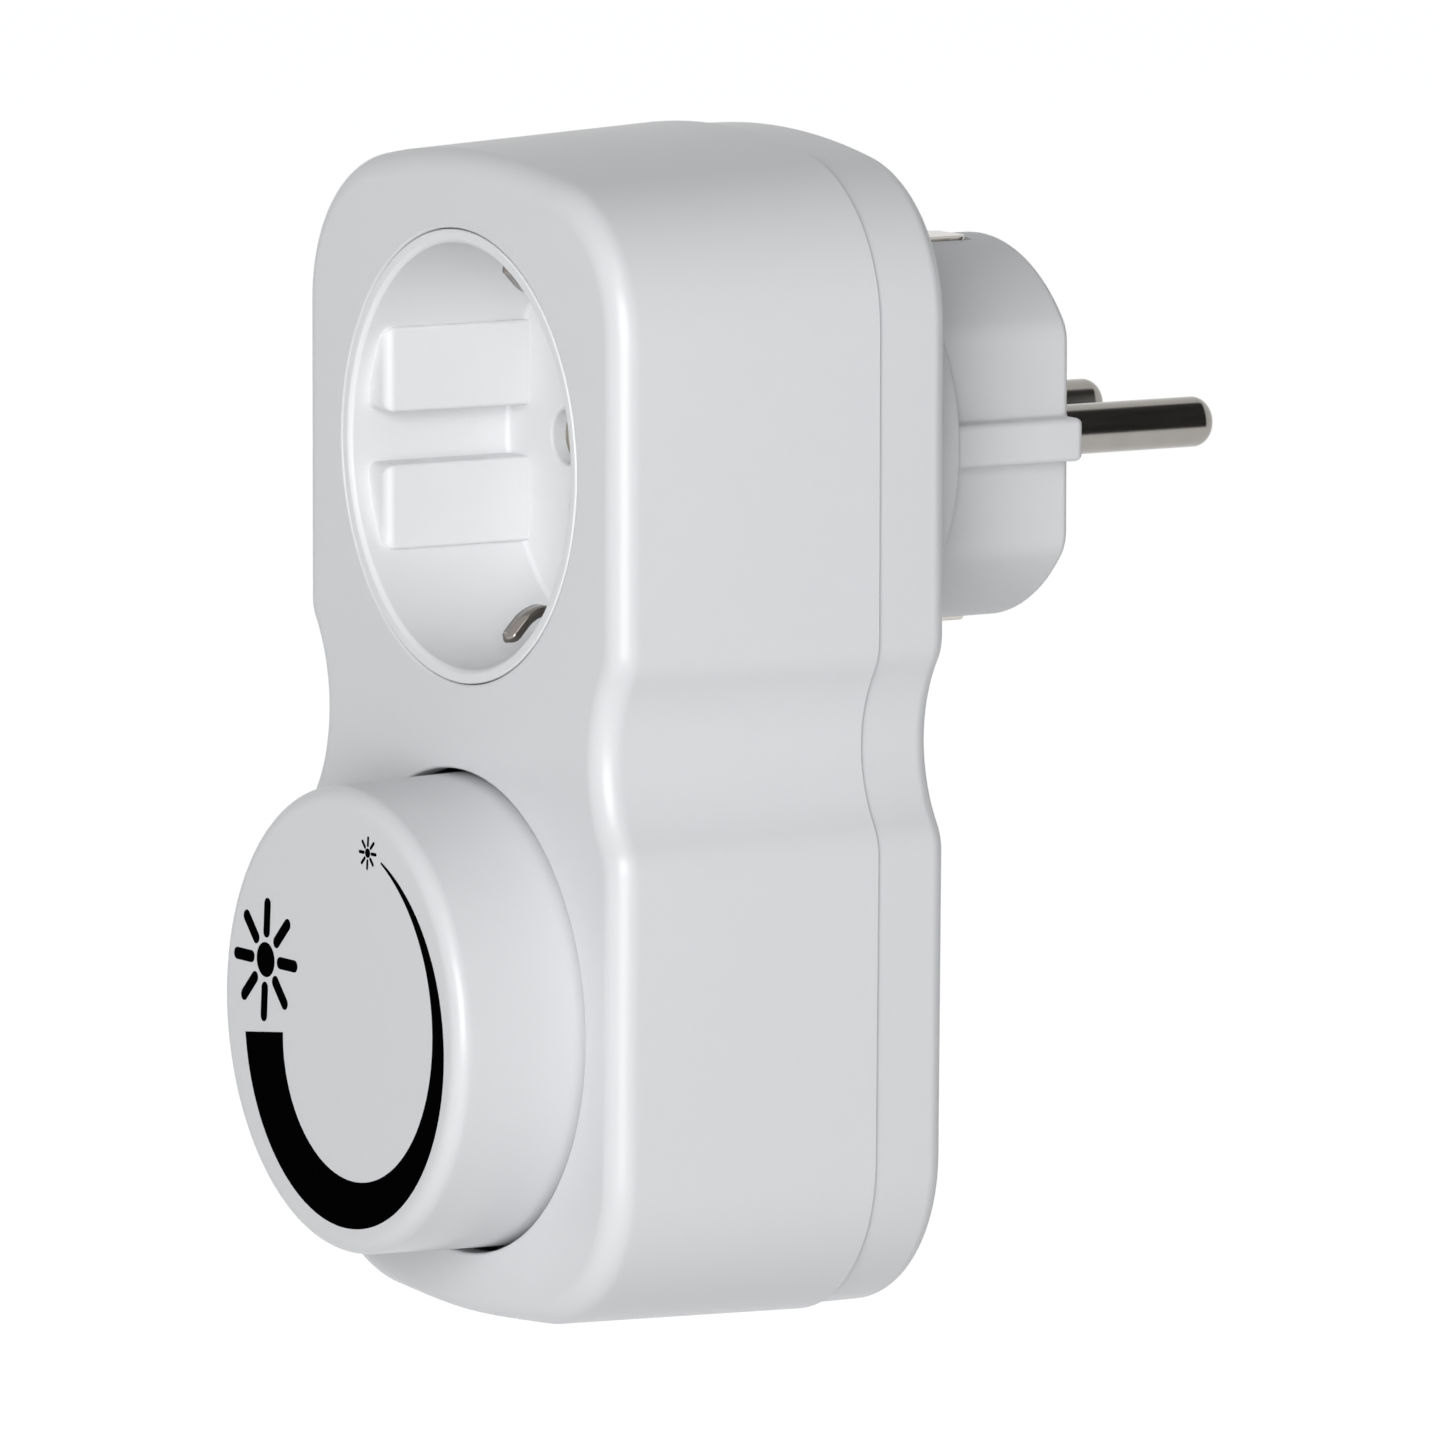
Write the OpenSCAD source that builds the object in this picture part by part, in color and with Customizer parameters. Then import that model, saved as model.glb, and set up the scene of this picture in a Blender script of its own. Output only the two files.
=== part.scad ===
// Plug-in dimmer: an earthed plug, a body with a waist, a socket above and a rotary knob below.
// The pieces are drawn as seen from the front: x to the right, y up from the socket axis and
// z out of the wall, from the plug's pin face. face() turns that so the pins point along +y.

/* [Body] */
// Width of the body at its seam, across its two lobes
body_w = 59; // [55:0.1:62]
// Height of the crown above the socket axis
body_top = 29.9; // [29:0.1:34]
// Distance of the base below the knob axis
base_drop = 28.6; // [27.4:0.2:34]
// Depth of the front shell, from its seam to its front face
front_depth = 27.9; // [27.5:0.1:34]
// Depth of the rear cover, from its back to the seam
rear_depth = 7.9; // [7.4:0.1:11]
// Wall of both shells
wall = 2; // [1.6:0.1:2.4]
// Rounding of the front edge
front_round = 2.5; // [1:0.1:3]
// Distance by which the front shell's sides lean in, from the seam to that rounding
draft = 0.9; // [0.3:0.1:1.2]
// Rounding of the rear edge
rear_round = 1.8; // [1:0.1:2.4]
// Step by which the rear cover is smaller than the front shell
rear_step = 0.4; // [0.2:0.1:0.8]
// Radius of the upper corners
top_r = 15.6; // [13:0.1:17]
// Radius of the crowned top
crown_r = 88; // [55:1:120]
// Radius of the lower corners
bottom_r = 16.1; // [14:0.1:18]
// Distance by which the sides lean in from the waist down to the lower corners
base_in = 0.3; // [0:0.1:1]
// Height of the waist above the middle between the socket axis and the knob axis
waist_lift = 0; // [-1:0.1:1.2]
// Depth of the waist on each side
waist_in = 3.1; // [1.5:0.1:3.6]
// Radius of the hollow of the waist
waist_r = 12.6; // [8:0.1:15]
// Radius of the shoulders above and below the waist
shoulder_r = 5.5; // [5:0.1:8]
// Height of the lip that locates the rear cover in the front shell
lip_h = 2.5; // [1.5:0.1:3]
// Thickness of that lip
lip_t = 1.2; // [0.9:0.1:1.6]

/* [Plug] */
// Length of the plug, from the rear cover to the pin face
plug_len = 22.4; // [20:0.1:24]
// Radius of the plug
plug_r = 18.2; // [17.6:0.1:18.4]
// Width across the two side flats
plug_flat_w = 30.1; // [29.8:0.1:31.6]
// Width across the guide ribs on those flats
rib_span = 35.3; // [34.8:0.1:36]
// Height of a guide rib
rib_w = 4.1; // [3:0.1:4.6]
// Width of the shallow earth pockets at the top and bottom
pocket_w = 7.8; // [7:0.1:9]
// Distance of a pocket's floor from the plug axis
pocket_floor = 17.3; // [17.2:0.05:17.4]
// Distance of the pockets from the pin face
pocket_start = 1.7; // [1.2:0.1:2.4]
// Radius of the collar at the root of the plug
collar_r = 19.2; // [18.7:0.1:19.5]
// Length of the collar
collar_len = 7.6; // [4:0.1:8]
// Radius of the flange that holds the plug inside the rear cover
plug_flange_r = 20.8; // [20.2:0.1:21.4]
// Thickness of that flange
plug_flange_t = 2; // [1.5:0.1:2.5]
// Rounding of the plug's end
plug_round = 0.8; // [0.5:0.1:1]
// Radius of the plug's hollow inside
plug_hollow_r = 13.5; // [13.2:0.1:13.8]
// Thickness of the plug's end wall
plug_end_t = 6; // [4:0.5:8]
// Diameter of a pin
pin_d = 4.8; // [4:0.1:4.8]
// Length of a pin beyond the pin face
pin_len = 19; // [17:0.5:20]
// Distance between the two pins, also between the socket's pin holes
pin_pitch = 19; // [18.6:0.1:19.4]
// Rounding of a pin's tip
pin_round = 1.6; // [0.6:0.1:1.9]
// Diameter of a pin's root in the plug
pin_root_d = 4; // [3:0.1:4]
// Length of a pin's root
pin_root_len = 12; // [9:0.5:12]

/* [Socket] */
// Radius of the socket recess
recess_r = 19.9; // [19.5:0.1:20]
// Depth of the socket recess
recess_depth = 17.5; // [17:0.1:18]
// Width of the socket cup's rim around the recess
rim_w = 1.3; // [1:0.1:1.8]
// Chamfer of the rim
rim_chamfer = 0.4; // [0.3:0.1:0.9]
// Thickness of the recess floor
floor_t = 1.6; // [1.4:0.1:2.2]
// Width of the flange around the rim, behind the front face
cup_flange_w = 1.8; // [1:0.1:2.6]
// Thickness of that flange
cup_flange_t = 1.6; // [1:0.1:2.2]
// Diameter of a pin hole
pin_hole_d = 5.2; // [5:0.1:5.6]
// Width between the flat guide blocks
guide_w = 32.4; // [31.6:0.1:33.6]
// Height of a guide block's half, from the axis to where the block ends
guide_half = 10.5; // [8:0.1:10.8]
// Height of the slot between two guide blocks
guide_slot = 4.9; // [4.6:0.1:6]
// Distance of the guide blocks behind the front face
guide_setback = 1.9; // [1:0.1:4]
// Rounding of a guide block's front edge
guide_round = 1; // [0.4:0.1:1.4]

/* [Earth straps] */
// Thickness of the strap metal
strap_t = 0.9; // [0.5:0.1:0.9]
// Width of the plug's strap
plug_strap_w = 6; // [5:0.1:6.4]
// Distance of the plug strap's outer face from the plug axis
plug_strap_reach = 18.3; // [18.25:0.05:18.4]
// Width of the socket's strap behind the recess floor
socket_strap_w = 4.4; // [4:0.1:5]
// Width of the socket's clips in the recess
clip_w = 2; // [1.6:0.1:3]
// Distance of the clip arms from the socket axis, at their outer face
clip_reach = 18.3; // [18.1:0.1:18.5]
// Distance of the clips' contact bend from the socket axis
clip_bend = 14.9; // [14:0.1:15.2]
// Distance of the contact bend behind the front face
clip_bend_depth = 9.2; // [8:0.1:10]
// Diameter of the rivet that joins the straps
rivet_d = 3; // [2:0.1:3.2]
// Height of the rivet's heads
rivet_head = 0.9; // [0.6:0.1:1]

/* [Contacts] */
// Radius of the contact carrier
carrier_r = 16.8; // [16.4:0.1:17]
// Gap between the contact carrier and the rivet behind it
carrier_clear = 2; // [1.6:0.1:2.6]
// Outer radius of a tulip contact
tulip_r = 3.2; // [3:0.1:3.4]
// Bore radius of a tulip contact
tulip_bore_r = 2.35; // [2.2:0.05:2.4]
// Length of a tulip contact behind the carrier
tulip_tail = 5.8; // [5:0.1:6.2]
// Travel of the shutter
shutter_travel = 6; // [5.6:0.1:6]
// Height of the shutter
shutter_h = 6.4; // [6:0.1:6.6]
// Width of the shutter
shutter_w = 25; // [24.6:0.1:25.4]
// Thickness of the shutter
shutter_t = 2.4; // [1.8:0.1:2.6]
// Slope of the shutter's face, on which the pins push
shutter_slope = 1.6; // [1:0.1:1.7]
// Room left for the shutter's spring when it is pressed together
spring_room = 4; // [3:0.1:4.4]
// Mean radius of the shutter's spring
spring_r = 0.85; // [0.7:0.05:1]
// Wire diameter of the shutter's spring
spring_wire = 0.35; // [0.25:0.05:0.4]
// Distance of a locating peg from the middle, to each side
peg_x = 11.5; // [11:0.1:11.8]
// Distance of the locating pegs below the socket axis
peg_drop = 9.5; // [8:0.1:9.8]
// Diameter of a locating peg
peg_d = 2.4; // [1.8:0.1:2.6]
// Length of a locating peg
peg_len = 3; // [2:0.1:4]
// Radius of a tulip contact's flange
tulip_flange_r = 4.2; // [3.8:0.1:4.4]
// Thickness of a tulip contact's flange
tulip_flange_t = 1.2; // [0.8:0.1:1.3]

/* [Knob] */
// Distance of the knob axis below the socket axis
knob_drop = 52.1; // [51:0.1:53]
// Radius of the knob at the end of its skirt
knob_base_r = 22.3; // [21:0.1:22.5]
// Radius of the knob at its face
knob_face_r = 21.9; // [20.5:0.1:22.1]
// Distance of the knob's face in front of the body
knob_proud = 13; // [10:0.1:15]
// Rounding of the knob's edge
knob_round = 1.6; // [0.8:0.1:1.8]
// Gap between the knob and its hole
knob_gap = 0.45; // [0.3:0.05:0.8]
// Depth of the knob's skirt inside the body
knob_skirt = 3.5; // [2.6:0.1:3.6]
// Travel of the knob when it is pushed
knob_travel = 1.5; // [1:0.1:1.6]
// Wall of the knob's skirt
knob_wall = 1.8; // [1.2:0.1:2.4]
// Thickness of the knob's face
knob_face_t = 2.2; // [1.6:0.1:3]
// Radius of the knob's hub
hub_r = 5.2; // [4.6:0.1:6]
// Diameter of the control shaft
shaft_d = 6; // [5.6:0.1:6]
// Depth of the flat that keys the shaft to the regulator
shaft_flat = 0.6; // [0.4:0.1:1]

/* [Board and regulator] */
// Thickness of the circuit board
board_t = 1.6; // [1:0.1:1.8]
// Distance of the board's front behind the front face
board_depth = 19.8; // [19.5:0.1:20.2]
// Height of the board's upper edge above the knob axis
board_up = 22.1; // [21.6:0.1:23]
// Distance of the board's lower edge below the knob axis
board_down = 24.4; // [23:0.1:25.4]
// Gap between the board and the wall
board_gap = 1; // [0.6:0.1:2]
// Diameter of the regulator's case
pot_d = 16.6; // [15.6:0.1:17]
// Height of the regulator's case
pot_h = 8; // [7.6:0.1:8]
// Wall of the regulator's case
pot_wall = 1; // [0.8:0.1:1.1]
// Radius of the regulator's bushing
bushing_r = 4.6; // [4:0.1:5]
// Gap between the regulator's bushing and the pushed knob
bushing_clear = 0.8; // [0.5:0.1:2.5]
// Width of the switch case
switch_w = 13; // [10:0.5:14]
// Height of the switch case
switch_h = 9.4; // [8.6:0.1:9.6]
// Radius of the switch plunger
plunger_r = 2.3; // [2:0.05:2.3]
// Length of the switch plunger
plunger_len = 3.6; // [3:0.1:3.8]
// Thickness of the switch case's floor
switch_floor = 1.4; // [1:0.1:1.5]

/* [Parts on the board] */
// Distance of the fuse from the body's left side
fuse_inset = 11.7; // [11.2:0.1:12.2]
// Distance of the fuse's middle below the knob axis
fuse_below = 1.4; // [0.9:0.1:1.9]
// Radius of the fuse's caps
fuse_r = 2.6; // [2.2:0.1:2.8]
// Length of the fuse
fuse_len = 20; // [18:0.5:21]
// Length of a fuse cap
fuse_cap = 5; // [4:0.1:6]
// Height of the fuse's axis above the board
fuse_lift = 4.4; // [4:0.1:5]
// Gap between a board post and the choke or the capacitor beside it
post_gap = 1.2; // [0.8:0.1:1.6]
// Distance of the choke below the board's upper edge
choke_down = 8; // [7.6:0.1:8.6]
// Radius of the choke's ring
choke_r = 5; // [4.4:0.1:5.2]
// Radius of the choke's winding
choke_wire_r = 2.5; // [1.8:0.1:2.6]
// Distance of the capacitor below the board's upper edge
capacitor_down = 7; // [6.6:0.1:7.6]
// Width of the capacitor
capacitor_w = 13; // [10:0.5:13]
// Thickness of the capacitor
capacitor_t = 6.5; // [5:0.1:7]
// Height of the capacitor
capacitor_h = 11.5; // [9:0.5:12]
// Distance of the heat sink from the body's right side
sink_inset = 7; // [7:0.1:7.4]
// Thickness of the heat sink
sink_t = 1.5; // [1:0.1:1.5]
// Distance of the heat sink's upper end below the board's upper edge
sink_down = 13.5; // [12.5:0.1:14.5]
// Length of the heat sink
sink_len = 19; // [18.5:0.1:20]
// Length of the heat sink's two feet
sink_foot = 2.2; // [1.5:0.1:2.2]
// Height of the power switch's lower end above the heat sink's lower end
triac_up = 1; // [0.8:0.1:1.5]
// Thickness of the power switch
triac_t = 4.5; // [4:0.1:4.8]
// Length of the power switch's body
triac_len = 9; // [8.6:0.1:9.4]
// Width of the power switch
triac_w = 10; // [9.5:0.1:10.4]
// Thickness of the power switch's tab
triac_tab_t = 1.3; // [0.8:0.1:1.4]
// Length of the power switch's tab
triac_tab_len = 6.3; // [5.9:0.1:6.6]
// Height of the power switch above the board
triac_lift = 1.9; // [1:0.1:2]
// Diameter of the power switch's screw
triac_screw_d = 3; // [2.5:0.1:3]
// Distance of the first axial part below the knob axis
axial_below = 12.4; // [12.2:0.1:12.9]
// Distance from one axial part to the next
axial_step = 3.5; // [3:0.1:3.7]
// Length of an axial part's body
axial_len = 6.3; // [5:0.1:8]
// Diameter of an axial part's body
axial_d = 2.3; // [1.6:0.1:2.5]
// How far the lead of a small part stands out from its body
lead_out = 1.7; // [1.4:0.1:2.2]
// Diameter of an axial part's lead
lead_d = 0.6; // [0.4:0.1:0.8]
// Diameter of a wire with its insulation
wire_d = 2; // [1.4:0.1:2]

/* [Screws] */
// Distance of a housing screw from the corner's edge at the seam, along the corner's radius
screw_inset = 6.2; // [6.1:0.1:6.6]
// Diameter of a housing screw
screw_d = 2.9; // [2.5:0.1:3]
// Length of a housing screw under its head
screw_len = 17; // [14:0.5:18]
// Radius of a housing screw's head
screw_head_r = 2.6; // [2.2:0.1:2.7]
// Height of a housing screw's head
screw_head_h = 2; // [1.5:0.1:2.2]
// Depth of the screw head's seat below the rear cover's back
screw_seat = 5.6; // [4.5:0.1:5.8]
// Radius of a screw boss
boss_r = 3; // [2.6:0.1:3.1]
// Distance of a board screw from the body's side
board_screw_inset = 7.2; // [6.8:0.1:7.6]
// Distance of the board screws below the board's upper edge
board_screw_down = 4; // [3.6:0.1:4.6]
// Diameter of a board screw
board_screw_d = 2.2; // [1.8:0.1:2.4]
// Length of a board screw in front of the board
board_screw_len = 6; // [5:0.5:8]
// Height of a board screw's head
board_screw_head_h = 1.6; // [1:0.1:2]
// Radius of a post that carries the board
board_post_r = 2.8; // [2.2:0.1:3]
// Height of the rear cover's post behind the board, above the board's lower edge
board_rest_up = 7; // [5:0.5:9]
// Width of the driver slots in a housing screw's head
driver_slot = 0.8; // [0.5:0.1:1]

/* [Fits] */
// Gap between pieces that move past each other
gap = 0.3; // [0.25:0.01:0.35]
// Radial clearance of a shaft in its bore
slip = 0.05; // [0.03:0.01:0.08]
// Clearance of a piece in its seat
seat = 0.1; // [0.05:0.01:0.15]

/* [Hidden] */
$fn = 64;

// Overlap of two shapes that are joined, and of a cut past a face
bite = 0.5;
// Steps of a rounded edge on the shells
edge_steps = 6;

// Levels along the depth, from the pin face outwards; the earth straps lie on the plug's flange
rear_out = plug_len;
seam_out = rear_out + rear_depth;
front_out = seam_out + front_depth;
plate_out = front_out - wall;
rear_plate_out = rear_out + wall;
flange_out = rear_plate_out + plug_flange_t;
collar_out = rear_out - collar_len;
floor_out = front_out - recess_depth;
rim_r = recess_r + rim_w;
cup_flange_r = rim_r + cup_flange_w;
cup_back = floor_out - floor_t;
plug_bar_out = flange_out + strap_t;
socket_bar_out = plug_bar_out + strap_t;
carrier_back = socket_bar_out + rivet_head + carrier_clear;
board_front = front_out - board_depth;
board_back = board_front - board_t;
pot_front = board_front + pot_h;
knob_front = front_out + knob_proud;
skirt_end = front_out - knob_skirt;

// Body outline: centres and turns of its arcs
body_bottom = knob_drop + base_drop;
waist_drop = knob_drop / 2 - waist_lift;
waist_sum = waist_r + shoulder_r;
waist_turn = acos(1 - waist_in / waist_sum);
waist_half = waist_sum * sin(waist_turn);
shoulder_x = body_w / 2 - shoulder_r;
waist_x = body_w / 2 - waist_in + waist_r;
corner_x = body_w / 2 - top_r;
crown_turn = asin(corner_x / (crown_r - top_r));
corner_y = body_top - crown_r + (crown_r - top_r) * cos(crown_turn);
base_x = body_w / 2 - base_in - bottom_r;
base_y = bottom_r - body_bottom;

// Housing screws sit on the diagonals of the four corners
screw_top_reach = (top_r - screw_inset) * sqrt(0.5);
screw_base_reach = (bottom_r - screw_inset) * sqrt(0.5);
screw_places = [
    for (side = [-1, 1]) each [
        [side * (corner_x + screw_top_reach), corner_y + screw_top_reach],
        [side * (base_x + screw_base_reach), base_y - screw_base_reach]
    ]
];
screw_seat_out = rear_out + screw_seat;
post_end = seam_out + 3.8;
boss_end = post_end + 2 * seat;
board_top = knob_drop - board_up;
board_bottom = knob_drop + board_down;
board_screw_x = body_w / 2 - board_screw_inset;
board_screw_drop = board_top + board_screw_down;
board_screw_places = [for (side = [-1, 1]) [side * board_screw_x, -board_screw_drop]];
knob_at = [0, -knob_drop];
pin_x = pin_pitch / 2;
tail_out = pin_root_len + 3;

// Shutter pocket in the front of the carrier
shutter_front = cup_back - gap;
shutter_back = shutter_front - shutter_t;
pocket_back = shutter_back - gap;
pocket_top = shutter_h / 2 + shutter_travel + gap;
carrier_pegs = [for (side = [-1, 1]) [side * peg_x, -peg_drop]];

// Tulip contacts: the mouth ends behind the pocket, a flange seats on the carrier's back
tulip_front = pocket_back - 2 * seat;
tulip_back = carrier_back - tulip_tail;
tulip_lug = 2;

// Regulator, shaft and switch on the knob axis
stub_r = plunger_r - gap;
plunger_tip = board_back - 0.9;
stub_end = plunger_tip + gap;
shaft_end = board_front + gap;
shaft_top = knob_front - knob_face_t - 1.4;
switch_back = board_back - switch_h;
bushing_top = skirt_end - knob_travel - bushing_clear;

// Parts on the front of the board; the heat sink stays behind the pushed knob
post_reach = board_screw_x - board_post_r - post_gap;
choke_x = post_reach - choke_r - choke_wire_r;
capacitor_x = post_reach - capacitor_w / 2;
fuse_x = body_w / 2 - fuse_inset;
fuse_drop = knob_drop + fuse_below;
sink_x = body_w / 2 - sink_inset;
sink_top = board_top + sink_down;
triac_drop = sink_top + sink_len - triac_up;
sink_h = board_depth - knob_skirt - knob_travel - 2;
triac_hole = [-triac_drop + triac_len + triac_tab_len / 2, board_front + triac_lift + triac_w / 2];

// Routes of the wires inside, each from one terminal to the next
live_route = [
    [-pin_x, 0, tail_out], [-pin_x, 0, tail_out + 1.5], [-9.2, -3, rear_out - 1.7],
    [-8.5, -6, rear_out + 0.9], [-8, -7.6, rear_out + 3.3], [-8.3, -9.2, rear_out + 5.1],
    [-9.4, -12.5, rear_out + 6.1], [-11.5, -18, rear_out + 6.6], [-14, -24, rear_out + 6.9],
    [-16, -31, board_back - 7.2], [-fuse_x, -37, board_back - 5.8], [-fuse_x, -41, board_back - 3.6],
    [-fuse_x, -42.5, board_back - 1.6], [-fuse_x, -42.5, board_back]
];
load_x = -pin_x + tulip_r + 1.1;
load_out = carrier_back - 2.4;
load_route = [
    [load_x, -tulip_lug, load_out], [load_x, -4.5, load_out], [-5.2, -10, rear_out + 6.4],
    [-5.2, -16, rear_out + 6.5], [-5.4, -22, rear_out + 6.9], [-5.8, -28, board_back - 6.4],
    [-6, -31.8, board_back - 4.2], [-6, -33, board_back - 2], [-6, -33, board_back]
];
neutral_y = tulip_r + 1.2;
neutral_route = [
    [pin_x, neutral_y, tulip_back], [pin_x, neutral_y, tulip_back - 2], [pin_x, 4, tulip_back - 3.8],
    [pin_x, 2.2, tail_out + 3.4], [pin_x, 0, tail_out + 1.5], [pin_x, 0, tail_out]
];

// Turns a piece from its front view into the object's own frame
module face() {
    rotate([90, 0, 0]) children();
}

// Points of an arc, without its first or last points where these are counted off
function arc(c, r, a0, a1, n, first = 0, last = 0) = [
    for (i = [first : n - last]) let (a = a0 + (a1 - a0) * i / n) c + r * [cos(a), sin(a)]
];

// Right side of the body outline from the base up to the crown, moved in by d
function right_side(d) = concat(
    arc([base_x, base_y], bottom_r - d, -90, 0, 12),
    arc([shoulder_x, -waist_drop - waist_half], shoulder_r - d, 0, waist_turn, 5),
    arc([waist_x, -waist_drop], waist_r + d, 180 + waist_turn, 180 - waist_turn, 8, 1, 1),
    arc([shoulder_x, -waist_drop + waist_half], shoulder_r - d, -waist_turn, 0, 5),
    arc([corner_x, corner_y], top_r - d, 0, 90 - crown_turn, 12),
    arc([0, body_top - crown_r], crown_r - d, 90 - crown_turn, 90, 3, 1)
);

// Whole body outline, moved in by d
function outline(d) = let (side = right_side(d)) concat(
    side,
    [for (i = [len(side) - 2 : -1 : 0]) [-side[i][0], side[i][1]]]
);

// Solid through a stack of closed rings with equal numbers of points
module skin(rings) {
    n = len(rings[0]);
    top = len(rings) - 1;
    polyhedron(
        points = [for (ring = rings) each ring],
        faces = concat(
            [[for (i = [0 : n - 1]) i]],
            [
                for (k = [0 : top - 1], i = [0 : n - 1])
                    let (a = k * n + i, b = k * n + (i + 1) % n)
                    each [[a, a + n, b + n], [a, b + n, b]]
            ],
            [[for (i = [n - 1 : -1 : 0]) top * n + i]]
        )
    );
}

// Steps of a rounded edge, [distance moved in, distance from the flat]; the last runs on past the flat
function edge(r) = [
    for (i = [0 : edge_steps])
        let (a = 90 * min(i, edge_steps - 1) / edge_steps, p = r * [1 - cos(a), 1 - sin(a)])
        i < edge_steps ? p : [2 * r, 0] - p
];

// How far the front shell's sides have moved in at a level
function lean(out) = draft * (out - seam_out) / (front_depth - front_round);
front_profile = concat(
    [[lean(seam_out - bite), seam_out - bite]],
    [for (p = edge(front_round)) [draft + p[0], front_out - p[1]]]
);
front_cavity = [for (out = [seam_out - 2 * bite, plate_out + bite]) [wall + lean(out), out]];
rear_profile = concat(
    [for (i = [edge_steps : -1 : 0]) let (p = edge(rear_round)[i]) [rear_step + p[0], rear_out + p[1]]],
    [[rear_step, seam_out + bite]]
);

// Body shape: each step of the profile is [distance moved in, level], cut flat at two levels
module body_skin(profile, from, to) {
    intersection() {
        skin([for (step = profile) [for (p = outline(step[0])) [p[0], p[1], step[1]]]]);
        translate([-body_w, -2 * body_bottom, from])
            cube([2 * body_w, 4 * body_bottom, to - from]);
    }
}

// Straight post or hole on the depth axis, from one level to another
module post(place, r, from, to) {
    translate([place[0], place[1], from]) cylinder(r = r, h = to - from);
}

// Profile that is revolved or extruded with one rounded corner at [w, 0]
module rounded_corner(w, h, r) {
    translate([0, r]) square([w, h - r]);
    square([w - r, r]);
    intersection() {
        translate([w - r, r]) circle(r);
        translate([w - r, 0]) square(r);
    }
}

// Flat strip along a path in the plane, as a closed outline
function strip(path, t) = concat(
    [for (i = [0 : len(path) - 1]) path[i] + t / 2 * side_of(path, i)],
    [for (i = [len(path) - 1 : -1 : 0]) path[i] - t / 2 * side_of(path, i)]
);
function along(path, i) =
    let (d = path[min(i + 1, len(path) - 1)] - path[max(i - 1, 0)]) d / norm(d);
function side_of(path, i) = let (d = along(path, i)) [-d[1], d[0]];

// Round wire along its route, as rings of eight points
module wire(route, r) {
    sides = 8;
    skin([
        for (i = [0 : len(route) - 1])
            let (
                d = along(route, i),
                u = cross(d, [1, 0.01, 0]) / norm(cross(d, [1, 0.01, 0])),
                v = cross(d, u)
            )
            [for (k = [0 : sides - 1]) route[i] + r * (cos(360 * k / sides) * u + sin(360 * k / sides) * v)]
    ]);
}

// Coil spring along z from 0 to its length
module coil(r, wire_r, length, turns) {
    steps = 8 * turns;
    sides = 6;
    pitch = (length - 2 * wire_r) / turns;
    skin([
        for (i = [0 : steps])
            let (
                a = 360 * turns * i / steps,
                c = [r * cos(a), r * sin(a), wire_r + pitch * turns * i / steps],
                radial = [cos(a), sin(a), 0],
                upward = [0, 0, 1]
            )
            [
                for (k = [0 : sides - 1])
                    c + wire_r * (cos(360 * k / sides) * upward + sin(360 * k / sides) * radial)
            ]
    ]);
}

module front_housing() color("whitesmoke") face() difference() {
    union() {
        difference() {
            body_skin(front_profile, seam_out, front_out);
            body_skin(front_cavity, seam_out - bite, plate_out);
        }
        for (place = screw_places) post(place, boss_r, boss_end, plate_out + bite);
        for (place = board_screw_places) post(place, board_post_r, board_front, plate_out + bite);
    }
    post([0, 0], rim_r + seat, plate_out - bite, front_out + bite);
    post(knob_at, knob_base_r + knob_gap, plate_out - bite, front_out + bite);
    for (place = screw_places)
        post(place, screw_d / 2 + slip, boss_end - bite, screw_seat_out + screw_len + bite);
    for (place = board_screw_places)
        post(place, board_screw_d / 2 + slip, board_front - bite, board_front + board_screw_len + 1);
}

module rear_cover() color("whitesmoke") face() difference() {
    union() {
        difference() {
            body_skin(rear_profile, rear_out, seam_out);
            translate([0, 0, rear_plate_out])
                linear_extrude(rear_depth) polygon(outline(rear_step + wall));
        }
        translate([0, 0, seam_out - lip_h]) linear_extrude(2 * lip_h) difference() {
            polygon(outline(wall + 2.5 * seat));
            polygon(outline(wall + 2.5 * seat + lip_t));
        }
        for (place = screw_places) {
            post(place, screw_head_r + 1.6, rear_plate_out - bite, seam_out - 0.7);
            post(place, boss_r, rear_plate_out - bite, post_end);
        }
        post([0, board_rest_up - board_bottom], board_post_r, rear_plate_out - bite, board_back);
    }
    post([0, 0], collar_r + seat, rear_out - bite, rear_plate_out + bite);
    for (place = screw_places) {
        post(place, screw_head_r + gap, rear_out - bite, screw_seat_out);
        post(place, screw_d / 2 + gap, screw_seat_out - bite, post_end + bite);
    }
}

module housing_screws() color("silver") face() for (place = screw_places) {
    difference() {
        post(place, screw_head_r, screw_seat_out - screw_head_h, screw_seat_out);
        for (turn = [45, 135]) translate([place[0], place[1], screw_seat_out - screw_head_h])
            rotate(turn) cube([1.4 * screw_head_r, driver_slot, screw_head_h], center = true);
    }
    post(place, screw_d / 2, screw_seat_out - bite, screw_seat_out + screw_len);
}

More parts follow.
